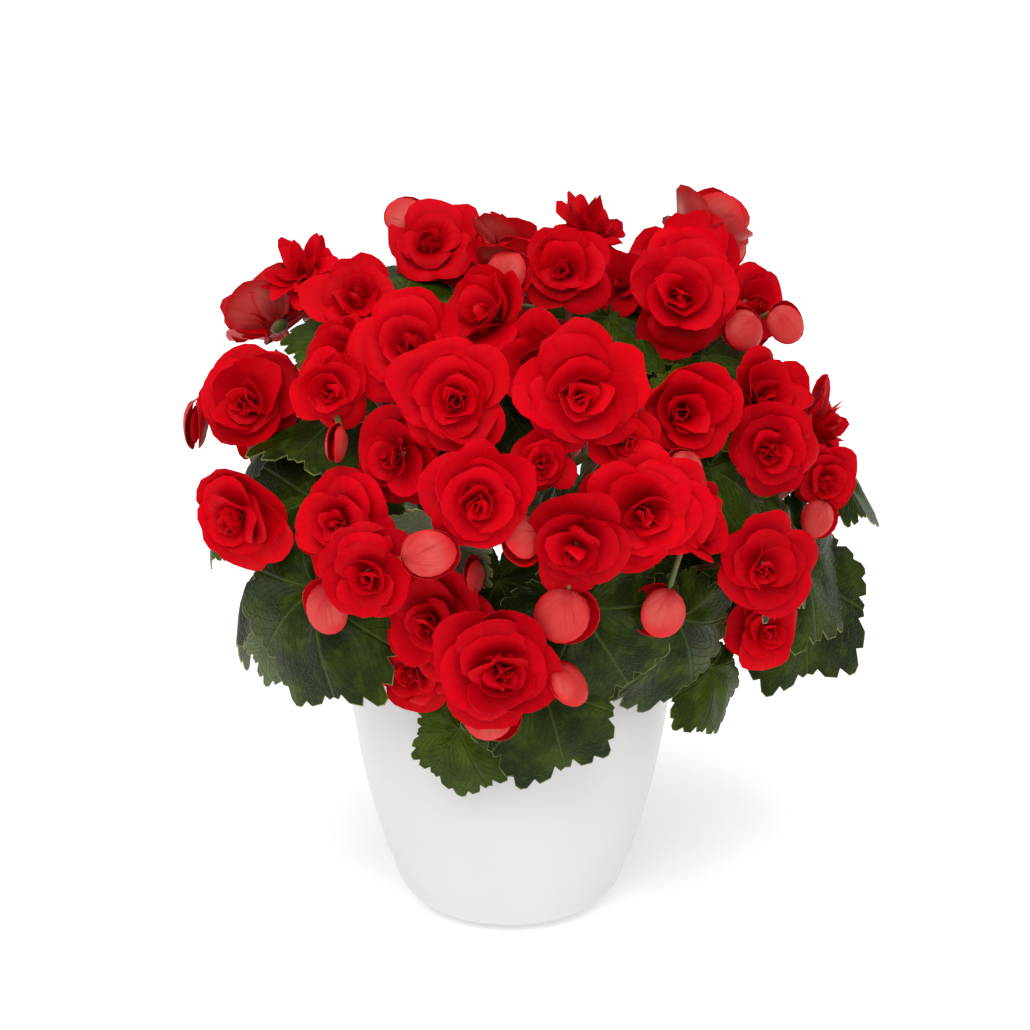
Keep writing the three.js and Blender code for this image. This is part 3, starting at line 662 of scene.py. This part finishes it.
# A ring of petals: how many, their length and half width as shares of the flower's radius, their slope at the
# foot and at the tip in degrees, how round they are across (small is tight), and how coral their backs are.
forms = {
    "rose": [(4, 1.08, 0.62, 8, -8, 2.6, 0.6), (3, 0.92, 0.60, 24, 4, 1.7, 0.2),
             (3, 0.74, 0.52, 40, 24, 1.0, 0.0), (3, 0.56, 0.38, 56, 52, 0.5, 0.0),
             (3, 0.44, 0.27, 72, 88, 0.26, 0.0), (3, 0.35, 0.18, 82, 104, 0.14, 0.0)],
    "plain": [(4, 1.08, 0.64, 12, -6, 2.4, 0.6), (3, 0.86, 0.56, 32, 14, 1.4, 0.1),
              (3, 0.64, 0.44, 50, 40, 0.7, 0.0), (3, 0.47, 0.27, 70, 86, 0.26, 0.0),
              (3, 0.36, 0.18, 82, 104, 0.14, 0.0)],
    "cup": [(4, 1.12, 0.62, 22, 40, 1.3, 1.0), (4, 0.94, 0.52, 40, 54, 0.95, 0.3),
            (3, 0.72, 0.38, 60, 70, 0.5, 0.0), (3, 0.50, 0.22, 78, 90, 0.24, 0.0)],
    "star": [(6, 1.02, 0.34, 20, 8, 1.1, 0.5), (6, 0.90, 0.30, 38, 28, 0.8, 0.2),
             (6, 0.74, 0.25, 54, 48, 0.5, 0.0), (4, 0.52, 0.19, 72, 84, 0.26, 0.0)],
}
petalSet = {"thick": 0.2, "fan": 84, "foot": 0.04, "sink": -0.12, "blunt": 0.56, "slim": 0.9, "point": 0.14,
            "notch": 0.12, "wave": 0.07, "roll": 0.10, "rollFrom": 0.72, "rollShape": 12.8, "broad": 1.55,
            "scallop": 0.035, "fineScallop": 0.018, "crowding": 1.35}
bloomSet = {"offCentre": 0.24, "hood": 20, "step": 0.05, "core": 0.045, "coreHeight": 0.24, "coreStart": 0.12,
            "coreWidths": (0.1, 0.8, 1.0, 0.86, 0.4, 0.02), "coreHeights": (0, 0.2, 0.6, 0.9, 1.0, 0.86),
            "calyxWidths": (0.02, 0.09, 0.15, 0.17, 0.10, 0.01),
            "calyxHeights": (0, 0.02, 0.06, 0.12, 0.2, 0.22),
            "outerRings": 2, "outerGrid": (14, 9), "innerGrid": (10, 7)}


# The flat outline of a petal is a broad fan from its foot, with a shallow notch somewhere in its rim; it is
# bent along its length, cupped across, waved, and rolled back a little at the rim.
def addPetal(bm, turned, radius, origin, azimuth, row, lift, tint, slim, draw, grid):
    p = petalSet
    vary = draw.uniform
    length, half, foot, tip, cup, coral = row
    slope0, slope1 = radians(foot), radians(tip)
    bend = slope1 - slope0 if abs(slope1 - slope0) > 1e-4 else 1e-4  # never quite straight
    across0 = cup * radius
    phases = [vary(0, 2 * pi) for _ in range(4)]
    lean, uneven = vary(-0.16, 0.16), vary(-0.07, 0.07)
    notch, notchAt, notchWide = vary(0, p["notch"]), vary(-0.6, 0.6), vary(0.12, 0.28)
    wave, roll = p["wave"] * vary(0.5, 1.6), p["roll"] * vary(-0.5, 1.5)
    cosA, sinA = cos(azimuth), sin(azimuth)
    power = p["slim"] if slim else p["blunt"]

    def spotAt(u, v):
        v = 0.04 + 0.96 * (1 - (1 - v) ** p["crowding"])  # rows crowd toward the rim
        theta = radians((u * 2 - 1) * p["fan"])
        rim = 1 + p["scallop"] * sin(2.3 * theta + phases[0])
        rim = rim + p["fineScallop"] * sin(5.5 * theta + phases[3]) + uneven * theta
        rim -= notch * exp(-((theta - notchAt) / notchWide) ** 2)
        if slim:
            rim += p["point"] * (1 - abs(u * 2 - 1)) ** 2
        reach = v * cos(theta) ** power * (1 + (rim - 1) * v * v)
        x = reach * sin(theta) * half * p["broad"] * radius
        y = reach * cos(theta)
        slope = slope0 + bend * y
        out = (sin(slope) - sin(slope0)) / bend * (length * radius)
        rise = (cos(slope0) - cos(slope)) / bend * (length * radius)
        bowl = max(-1.5, min(1.5, x / across0))
        tangent = across0 * sin(bowl)
        off = across0 * (1 - cos(bowl))
        ripple = sin(2.4 * theta + phases[1]) + 0.6 * sin(5.4 * theta + phases[2])
        curled = roll * radius * max(0, v - p["rollFrom"]) ** 2 * p["rollShape"]
        off += wave * radius * v ** 3 * ripple - curled
        off += lean * x * y
        r = p["foot"] * radius + out - sin(slope) * off
        z = p["sink"] * radius + lift + rise + cos(slope) * off
        x, y = origin[0] + r * cosA - tangent * sinA, origin[1] + r * sinA + tangent * cosA
        return turned @ Vector((x, y, z))

    addSkin(bm, *grid, spotAt, 0, thick=-p["thick"], backFinish=1, tint=tint, coral=coral)


# Petals stand in rings, each ring nearer the heart, which sits low in the flower. The upper petals are longer
# and lean over it like a hood, and no two petals are alike.
def addBloom(bm, place, facing, radius, form, seed):
    b = bloomSet
    draw = random.Random(seed * 31 + 5)
    vary = draw.uniform
    turned = frameAt(place, facing, up)
    azimuth = vary(0, 2 * pi)
    opened, dark = vary(-8, 10), vary(0, 0.4)
    heartWay = radians(vary(-145, -35))
    heartAside = vary(0.25, 1) * b["offCentre"] * radius
    heart = (heartAside * cos(heartWay), heartAside * sin(heartWay))
    hood = vary(0.2, 1) * b["hood"]
    rings = forms[form]
    for depth, (count, length, half, foot, tip, cup, coral) in enumerate(rings):
        share = depth / (len(rings) - 1)
        outer = depth < b["outerRings"]
        count += draw.choice((0, 0, 1) if outer else (-1, 0, 1))
        origin = (heart[0] * share, heart[1] * share)
        azimuth += pi / count + vary(-0.3, 0.3)
        loose = 1 - 0.55 * share
        for i in range(count):
            turn = azimuth + i * 2 * pi / count + vary(-0.3, 0.3)
            nearer = origin[0] * cos(turn) + origin[1] * sin(turn)
            grown = (length - nearer / radius * (1 - share * 0.6)) * (1 + vary(-0.16, 0.08))
            wide = half * (1 + vary(-0.12, 0.2))
            over = hood * sin(turn) * loose + opened * (1 - share)
            low = foot + (over * 0.4 + vary(-6, 6) * loose)
            high = tip + (over + vary(-14, 14) * loose)
            bent = (grown, wide, low, high, cup * vary(0.8, 1.3), coral)
            lift = (b["step"] * depth + 0.014 * i) * radius
            # a random tone for each flower and petal, plus a rise ring by ring toward the heart that is
            # painted shade
            tint = dark + vary(0, 0.45) + 0.12 * share
            addPetal(bm, turned, radius, origin, turn, bent, lift, tint, form == "star", draw,
                     b["outerGrid"] if outer else b["innerGrid"])
    steps = len(b["coreWidths"]) - 1

    def rolled(across, along):  # the last petals, rolled tight in the heart
        turn, ring = across * 2 * pi, round(along * steps)
        wide = b["core"] * radius * b["coreWidths"][ring] * (1 + 0.25 * sin(2 * turn))
        z = (petalSet["sink"] + b["coreHeight"] * b["coreHeights"][ring]) * radius + b["coreStart"] * radius
        return turned @ Vector((heart[0] + wide * cos(turn), heart[1] + wide * sin(turn), z))

    def calyx(across, along):  # the green foot that joins the petals to the stalk
        turn, ring = across * 2 * pi, round(along * steps)
        wide = b["calyxWidths"][ring] * radius
        z = poles[form][0] * radius + b["calyxHeights"][ring] * radius
        return turned @ Vector((wide * cos(turn), wide * sin(turn), z))

    addSkin(bm, 10, steps, rolled, 0, closed=True)
    addSkin(bm, 12, steps, calyx, stalkIndex, tint=0.3, coral=0.6, closed=True)


# A bud is two round tepals pressed together like a shell, hung from the end of its stalk; the hinder one is
# the larger and sits a little askew, so that its redder edge shows.
budSet = {"length": 1.02, "width": 0.95, "plump": 0.40, "askew": 13, "hinder": 1.08, "lip": 0.06,
          "fold": 0.07, "foldWidth": 0.12, "thick": 0.3, "grid": (16, 12),
          "heart": 0.30, "heartLength": 0.8, "heartGrid": (14, 8)}


def addBud(bm, place, facing, stalkWay, radius, seed):
    b = budSet
    draw = random.Random(seed * 17 + 3)
    vary = draw.uniform
    askew = draw.choice((-1, 1)) * b["askew"] * vary(0.6, 1.4)
    turned = frameAt(place, facing, -stalkWay) @ Matrix.Rotation(radians(vary(-18, 18)), 4, "Y")
    slimmer, parted = vary(0.82, 1.02), vary(0.01, 0.05)
    for side in (1, -1):
        grown = radius * (1 if side > 0 else b["hinder"])
        shell = turned
        if side < 0:
            pivot = Matrix.Translation((0, -b["length"] * radius, 0))
            shell = turned @ pivot @ Matrix.Rotation(radians(askew), 4, "Z") @ pivot.inverted()
        phase, foldAt = vary(0, 6), vary(-0.3, 0.3)

        def spotAt(u, v):
            v = 1 - (1 - v) ** 1.3
            theta = radians((u * 2 - 1) * petalSet["fan"])
            reach = v * cos(theta) ** 0.8 * (1 + 0.03 * sin(3 * theta + phase))
            x = reach * sin(theta) * 2 * b["width"] * slimmer
            y = (reach * cos(theta) * 2 - 1) * b["length"]
            far = min(1, hypot(x / b["width"], y / b["length"]))
            bulge = b["plump"] * sqrt(max(0, 1 - far ** 2.4)) * (1.10 - 0.22 * y)
            fold = b["fold"] * exp(-((x - foldAt) / b["foldWidth"]) ** 2) * (1 - v * v)
            lift = b["lip"] * v ** 6 * (1 + sin(2 * theta + phase)) * 0.5 + parted * v * v
            return shell @ Vector((x * grown, y * grown, side * (bulge - fold + lift + 0.015) * grown))

        tint = vary(0.1, 0.9)
        coral = vary(0.75, 1.0) if side > 0 else vary(0.05, 0.4)
        addSkin(bm, *b["grid"], spotAt, 1, thick=b["thick"] * side, tint=tint, coral=coral)

    def heartAt(across, along):  # the petals still folded between the two
        turn = across * 2 * pi
        wide = b["heart"] * sin(pi * (0.02 + 0.96 * along)) ** 0.7 * radius
        crease = 1 + 0.12 * sin(3 * turn)
        y = (2 * along - 1) * b["heartLength"] * radius
        return turned @ Vector((1.9 * wide * crease * cos(turn), y, 0.8 * wide * sin(turn)))

    addSkin(bm, *b["heartGrid"], heartAt, 0, tint=0.7, closed=True)


def makeFlowers(petal, petalBack, stalkFinish):
    flowers = []
    for index, row in enumerate(frontFlowers + backFlowers):
        host = settleFlower(index, row)
        bm = startPiece()
        addBloom(bm, host["place"], host["facing"], host["radius"], host["form"], index + 1)
        for number, (owner, azimuth, elevation, out, across, *faces, form) in enumerate(companions):
            if owner != index:
                continue
            place = onCrown(azimuth, elevation, out) + host["shift"]
            facing = heading(*faces)
            aside = place - host["place"]
            aside = (aside - host["facing"] * aside.dot(host["facing"])).normalized()
            elbow = host["place"] + aside * 0.45 * host["radius"] - host["facing"] * 0.22 * host["radius"]
            end = host["place"] - host["facing"] * 0.1 * host["radius"]
            way = elbow - place
            way = (way - facing * way.dot(facing)).normalized()
            if form == "bud":
                addBud(bm, place, facing, way, across / 2, number + 60)
                start = place + way * (across / 2) * 0.9
            else:
                addBloom(bm, place, facing, across / 2, form, azimuth + 400)
                start = place - facing * 0.15 * across / 2
            addTube(bm, [start, (start + elbow) / 2, elbow, end], lambda v: stemSet["side"], 10, coral=0.9)
        finishes = [petal, petalBack, stalkFinish]
        finishPiece(bm, "bloom_%02d" % (index + 1), finishes, "red_petals", "flower_%02d" % (index + 1))
        flowers.append(host)
    return flowers


# One row a leaf: azimuth, radius and height of the place where its veins meet, azimuth and pitch toward its
# tip, azimuth and pitch that it faces, and its length.
leaves = [
    (-47, 105, 168, -75, -68, -30, 20, 48),
    (15, 102, 170, 70, -58, 15, 30, 43),
    (8, 92, 134, -30, -72, 5, 15, 38),
    (-13, 90, 114, -24, -80, -12, 6, 28),
    (38, 108, 160, 64, -72, 30, 15, 43),
    (86, 116, 162, 104, -50, 50, 30, 43),
    (70, 116, 186, 95, -42, 70, 45, 36),
    (-70, 98, 136, -92, -62, -165, 22, 21),
    (-82, 119, 179, -94, -62, -70, 30, 22),
    (-54, 96, 200, -110, 20, -60, 50, 33),
    (58, 97, 125, 64, -68, 45, 18, 26),
    (88, 116, 148, 80, -58, 22, 18, 47),
    (88, 130, 198, 92, -36, 72, 46, 34),
    (-75, 62, 258, -90, 10, -60, 60, 28),
    (74, 42, 262, 50, -20, 16, 44, 26),
    (52, 84, 240, 70, 5, 45, 50, 28),
    (-42, 78, 205, -60, 0, -40, 40, 21),
    (-18, 88, 188, -15, 60, 160, 20, 30),
    (34, 94, 180, 30, -30, 34, 40, 28),
    (110, 104, 150, 115, -55, 110, 30, 46),
    (135, 96, 165, 135, -40, 135, 40, 43),
    (160, 100, 146, 165, -60, 160, 30, 46),
    (-175, 94, 168, -175, -35, -175, 45, 41),
    (-150, 100, 148, -150, -58, -150, 30, 46),
    (-125, 98, 162, -120, -45, -125, 40, 43),
    (-98, 104, 146, -98, -60, -98, 30, 41),
    (152, 80, 222, 152, 5, 150, 60, 31),
    (-140, 80, 222, -140, 5, -140, 60, 31),
    (-2, 62, 240, 10, -50, 0, 40, 32),
    (58, 94, 210, 56, -46, 30, 34, 29),
    (100, 54, 232, 100, -8, 100, 60, 32),
    (-74, 56, 226, -74, -8, -74, 60, 32),
    (-60, 36, 258, -60, -10, -30, 56, 28),
    (-3, 84, 176, -3, -50, -3, 36, 32),
    (53, 90, 170, 66, -50, 30, 30, 30),
    (72, 82, 250, 72, -5, 50, 50, 32),
    (-84, 84, 214, -84, -24, -70, 46, 32),
    (118, 44, 254, 118, 0, 60, 60, 30),
    (-170, 50, 226, -170, 0, -170, 66, 30),
    (-112, 48, 254, -112, 0, -40, 60, 30),
]
leafSet = {"teeth": 7, "sinus": 0.16, "large": 42, "young": 32, "petioleShare": 0.28, "thick": 0.55,
           "columns": 112, "outs": (0, 0.14, 0.3, 0.46, 0.62, 0.76, 0.87, 0.94, 0.985, 1),
           "serration": 0.075, "fine": 0.04, "quilt": 0.06, "ruffle": 0.055, "ripple": 0.012,
           "canopy": 28, "canopyGrowth": 1.5, "insideRadius": 61,
           "skin": 0.4, "depths": range(0, 37, 3), "tilts": (0, -12, 12, -24, 24)}


def drawsFrom(seed):  # a repeatable run of draws between -1 and 1
    state = seed * 7919 + 17
    while True:
        state = state * 16807 % 2147483647
        yield state / 2147483647 * 2 - 1


def bladeOf(length, seed):
    draw = drawsFrom(seed + 100)
    columns = leafSet["teeth"] * 2
    lean = copysign(0.12, next(draw))  # one half of the blade is the larger
    edge = []
    for column in range(columns):
        turn = column / columns * 2 * pi
        tooth = 1.08 if column % 2 == 0 else 0.84
        outline = (0.7 + 0.3 * cos(turn)) * (1 + lean * sin(turn)) * tooth * (1 + 0.04 * next(draw))
        edge.append(length * (leafSet["sinus"] if column == leafSet["teeth"] else outline))
    waves = [0.05 * next(draw) for _ in range(columns)]
    curl = 0.3 + 0.1 * next(draw)
    return edge, waves, curl


def settleLeaf(index, row, points):
    s = leafSet
    azimuth, radius, height, tipAzimuth, tipPitch, faceAzimuth, facePitch, length = row
    inward = -viewedFrom if abs(azimuth) < 95 else -heading(azimuth, 0)

    def lay(choice):
        depth, tilt = choice
        tip = heading(tipAzimuth, tipPitch + tilt)
        facing = heading(faceAzimuth, facePitch + tilt)
        facing = (facing - tip * facing.dot(tip)).normalized()
        return tip, facing, frameAt(polar(azimuth, radius, height) + inward * depth, facing, tip)

    def gapAt(choice):
        turned = lay(choice)[2]
        return sum(miss(points, turned @ Vector((0, 0, skin))) for skin in (s["skin"], -s["skin"]))

    best = min(((depth, tilt) for depth in s["depths"] for tilt in s["tilts"]), key=gapAt)
    if gapAt(best) > settleSet["near"]:
        print("leaf", index + 1, "is off by", round(gapAt(best), 2))
    tip, facing, turned = lay(best)
    edge, waves, curl = bladeOf(length, index + 1)
    inside = index >= s["canopy"] and radius < s["insideRadius"]
    grown = s["canopyGrowth"] if inside else 1  # the blades that close the crown inside
    ring = 0.55 if length >= s["large"] else 1
    reach = ring * edge[0]
    end = Vector((0, reach, waves[0] * ring * length - curl * reach * reach / length))
    end *= s["petioleShare"] / ring
    return {"index": index, "azimuth": azimuth, "length": length * grown, "turned": turned, "waves": waves,
            "edge": [reach * grown for reach in edge], "curl": curl, "end": turned @ end,
            "arriving": (tip + facing).normalized(), "fresh": 1.0 if length < s["young"] else 0.25}


def addLeaf(bm, leaf):
    s = leafSet
    columns, rings, length = s["teeth"] * 2, len(s["outs"]) - 1, leaf["length"]
    draw = random.Random(leaf["index"] * 13 + 7)
    phase = draw.uniform(0, 6)
    ripples = [draw.uniform(0.6, 1.4) for _ in range(columns)]
    edge = leaf["edge"]
    soft = [0.94 * edge[i] + 0.03 * (edge[i - 1] + edge[(i + 1) % columns]) for i in range(columns)]

    def blended(values, spot, pointed=0.0):
        low = int(spot)
        share = spot - low
        share = (1 - cos(pi * share)) / 2 * (1 - pointed) + share * pointed
        return values[low % columns] * (1 - share) + values[(low + 1) % columns] * share

    def spotAt(u, v):
        turn = (u - 0.5) * 2 * pi
        spot = (turn / (2 * pi) * columns) % columns
        out = s["outs"][round(v * rings)]
        near = abs(abs(turn) - pi) / (pi / s["teeth"])
        if near < 1:  # the narrow sinus where the petiole comes in
            inner = edge[s["teeth"]]
            outer = soft[s["teeth"] - 1] if turn > 0 else soft[s["teeth"] + 1]
            reach = inner + (outer - inner) * sin(near * pi / 2) ** 0.45
        else:
            reach = blended(soft, spot, 0.9)
        saw, fineSaw = (spot * 2 + 0.5) % 1.0, spot * 4 % 1.0
        toothed = ((1 - abs(saw * 2 - 1)) * s["serration"] + (1 - abs(fineSaw * 2 - 1)) * s["fine"]) * length
        toothed *= blended(ripples, spot)
        reach = out * reach + toothed * max(0, (out - 0.8) / 0.2) * min(1, near)
        lobe = 0.5 - 0.5 * cos(2 * pi * spot / 2)
        z = blended(leaf["waves"], spot) * out * length - leaf["curl"] * reach * reach / length
        z += s["quilt"] * length * lobe * sin(pi * min(1, out * 1.05))
        z += s["ripple"] * length * sin(11 * turn + phase) * out ** 3
        z += s["ruffle"] * length * sin(3.5 * turn + phase * 2) * out ** 3
        return leaf["turned"] @ Vector((reach * sin(turn), reach * cos(turn), z + 0.25))

    tint = leaf["fresh"] * draw.uniform(0.5, 1)
    addSkin(bm, s["columns"], rings, spotAt, 0, thick=s["thick"], backFinish=1, tint=tint, closed=True)


stemSet = {"foot": 88, "top": 205, "ring": 20, "spread": 16, "count": 6, "first": -20, "radius": 3.4,
           "bends": (96, 104), "upperBends": (135, 158, 182), "joints": (0.2, 0.38, 0.55, 0.72, 0.88),
           "swelling": 0.16, "lowest": 112, "highest": 203, "petiole": 1.6, "pedicel": 1.5, "side": 1.15}
routeSet = {"shifts": (0, 14, -14), "raised": (0, 10, -10, 20, -20, 32, -32), "straights": (9, 4, 14),
            "asides": (0, 7, -7, 14, -14, 22, -22, 32, -32), "middle": 0.55, "near": 1.0}
stemAzimuths = [stemSet["first"] + i * 360 / stemSet["count"] for i in range(stemSet["count"])]


def stemPoint(azimuth, height):
    share = max(0, (height - stemSet["lowest"]) / (stemSet["top"] - stemSet["lowest"]))
    return polar(azimuth, stemSet["ring"] + stemSet["spread"] * share ** 1.3, height)


def nearestStem(azimuth):
    return min(range(stemSet["count"]), key=lambda i: abs((azimuth - stemAzimuths[i] + 540) % 360 - 180))


# The route that a side stalk took: the candidate whose rings lie where the corners of the solid are.
def settleStalk(stem, side, startHeight, points):
    r, azimuth = routeSet, stemAzimuths[stem]
    asideWay = heading(azimuth + 90, 0)
    routes = []
    for shift in r["shifts"]:
        start = stemPoint(azimuth, min(stemSet["highest"], max(stemSet["lowest"], startHeight + shift)))
        for raised, aside, straight in product(r["raised"], r["asides"], r["straights"]):
            near = side["end"] - side["arriving"] * straight
            middle = start.lerp(near, r["middle"]) + asideWay * aside + up * raised
            routes.append([start, middle, near, side["end"]])
    shares = [i / side["steps"] for i in range(1, side["steps"])]
    rings = curveSpots(routes, shares)
    misses = []
    for ring in rings:
        away = [np.sort(np.linalg.norm(points - spot, axis=1))[:3] for spot in ring]
        misses.append(sum(np.abs(near - side["girth"]).sum() for near in away))
    best = int(np.argmin(misses))
    if misses[best] > r["near"]:
        print(side["what"], side["index"] + 1, "is off by", round(float(misses[best]), 2))
    return routes[best]


def makeGreens(flowers, leafTop, leafUnder, stalkFinish):
    s = stemSet
    stemPoints = [nodePoints("leafy_stem_%d" % (i + 1)) for i in range(s["count"])]
    blades = [settleLeaf(i, row, stemPoints[nearestStem(row[0])]) for i, row in enumerate(leaves)]
    wanted = [dict(flower, girth=s["pedicel"], steps=2, what="stalk of flower") for flower in flowers]
    wanted += [dict(blade, girth=s["petiole"], steps=3, what="petiole of leaf") for blade in blades]
    heights = (s["foot"] + clearance, *s["bends"], s["lowest"], *s["upperBends"], s["top"])

    def girth(v):
        swell = max(exp(-((v - joint) / 0.02) ** 2) for joint in s["joints"])
        return s["radius"] * (1.02 - 0.25 * v + s["swelling"] * swell)

    for stem, azimuth in enumerate(stemAzimuths):
        mine = [side for side in wanted if nearestStem(side["azimuth"]) == stem]
        mine.sort(key=lambda side: side["end"].z)
        bm = startPiece()
        addTube(bm, [stemPoint(azimuth, height) for height in heights], girth, 48, 14, tint=0.2, coral=0.25)
        for i, side in enumerate(mine):
            startHeight = s["lowest"] + (s["highest"] - s["lowest"]) * (i + 0.5) / len(mine)
            route = settleStalk(stem, side, startHeight, stemPoints[stem])
            if "form" in side:  # a flower's
                end = side["end"] + side["arriving"] * 0.08 * side["radius"]
                addTube(bm, route[:3] + [end], lambda v: 1.5 - 0.25 * v, 14, coral=0.9)
            else:
                end = side["turned"] @ Vector((0, 0.5, -0.4))
                addTube(bm, route[:3] + [end], lambda v: 1.7 - 0.3 * v, 14, coral=0.45)
        for blade in blades:
            if nearestStem(blade["azimuth"]) == stem:
                addLeaf(bm, blade)
        finishes = [leafTop, leafUnder, stalkFinish]
        finishPiece(bm, "greens_%d" % (stem + 1), finishes, "foliage", "leafy_stem_%d" % (stem + 1))


studio = {"lens": 125.8, "sensor": 36, "camera": (0, -1.4004, 0.6876), "aim": (0.0022, 0.0075, 0.1696),
          "clip": (0.05, 40), "world": (0.14, 1.0), "floor": (0.93, 0.93, 0.93, 1),
          "paleFloor": (0.95, 0.95, 0.95, 1), "floorGlow": 0.3, "floorSize": 6,
          "suns": (("key", -16, 60, 1.5, 50), ("fill", 40, 45, 0.35, 60), ("front", -25, 12, 0.5, 60))}


def aimAlong(thing, way):
    thing.rotation_mode = "QUATERNION"
    thing.rotation_quaternion = way.to_track_quat("-Z", "Y")
    bpy.context.scene.collection.objects.link(thing)


def makeStudio():
    scene = bpy.context.scene
    scene.view_settings.view_transform = "Standard"
    world = bpy.data.worlds.new("studio_world")
    world.use_nodes = True
    tree = world.node_tree
    split = tree.nodes.new("ShaderNodeSeparateXYZ")  # a pale room, brightest overhead
    tree.links.new(tree.nodes.new("ShaderNodeTexCoord").outputs["Generated"], split.inputs[0])
    rise = tree.nodes.new("ShaderNodeMapRange")
    tree.links.new(split.outputs["Z"], rise.inputs["Value"])
    rise.inputs["To Min"].default_value, rise.inputs["To Max"].default_value = studio["world"]
    tree.nodes["Background"].inputs["Color"].default_value = (1, 1, 1, 1)
    tree.links.new(rise.outputs[0], tree.nodes["Background"].inputs["Strength"])
    scene.world = world
    for name, azimuth, height, strength, spread in studio["suns"]:
        light = bpy.data.lights.new(name, "SUN")
        light.energy = strength
        light.angle = radians(spread)
        aimAlong(bpy.data.objects.new(name, light), -heading(azimuth, height))
    bm = bmesh.new()
    bmesh.ops.create_grid(bm, x_segments=8, y_segments=8, size=studio["floorSize"])
    mesh = bpy.data.meshes.new("floor")
    bm.to_mesh(mesh)
    bm.free()
    f = Finish("pale_floor", Roughness=0.9, Specular_IOR_Level=0.1, Emission_Color=studio["floor"],
               Emission_Strength=studio["floorGlow"])  # a white sweep that glows a little
    f.colour(f.mix(f.ramp(f.noise(3.0), 0.3, 0.7), studio["floor"], studio["paleFloor"]))
    mesh.materials.append(f.material)
    floor = bpy.data.objects.new("floor", mesh)
    scene.collection.objects.link(floor)
    lens = bpy.data.cameras.new("camera")
    lens.lens, lens.sensor_width = studio["lens"], studio["sensor"]
    lens.clip_start, lens.clip_end = studio["clip"]
    camera = bpy.data.objects.new("camera", lens)
    camera.location = studio["camera"]
    aimAlong(camera, Vector(studio["aim"]) - Vector(studio["camera"]))
    scene.camera = camera


makeStudio()
print("studio done")
makePots(makeGlazeFinish(), makeBlackPlasticFinish(), makePeatFinish())
print("pots and soil done")
stalkGreen = makeStalkFinish()
grown = makeFlowers(makePetalFinish(), makePetalBackFinish(), stalkGreen)
print("flowers done:", len(grown))
makeGreens(grown, makeLeafFinish("leaf_top", False), makeLeafFinish("leaf_under", True), stalkGreen)
print("stems and leaves done")
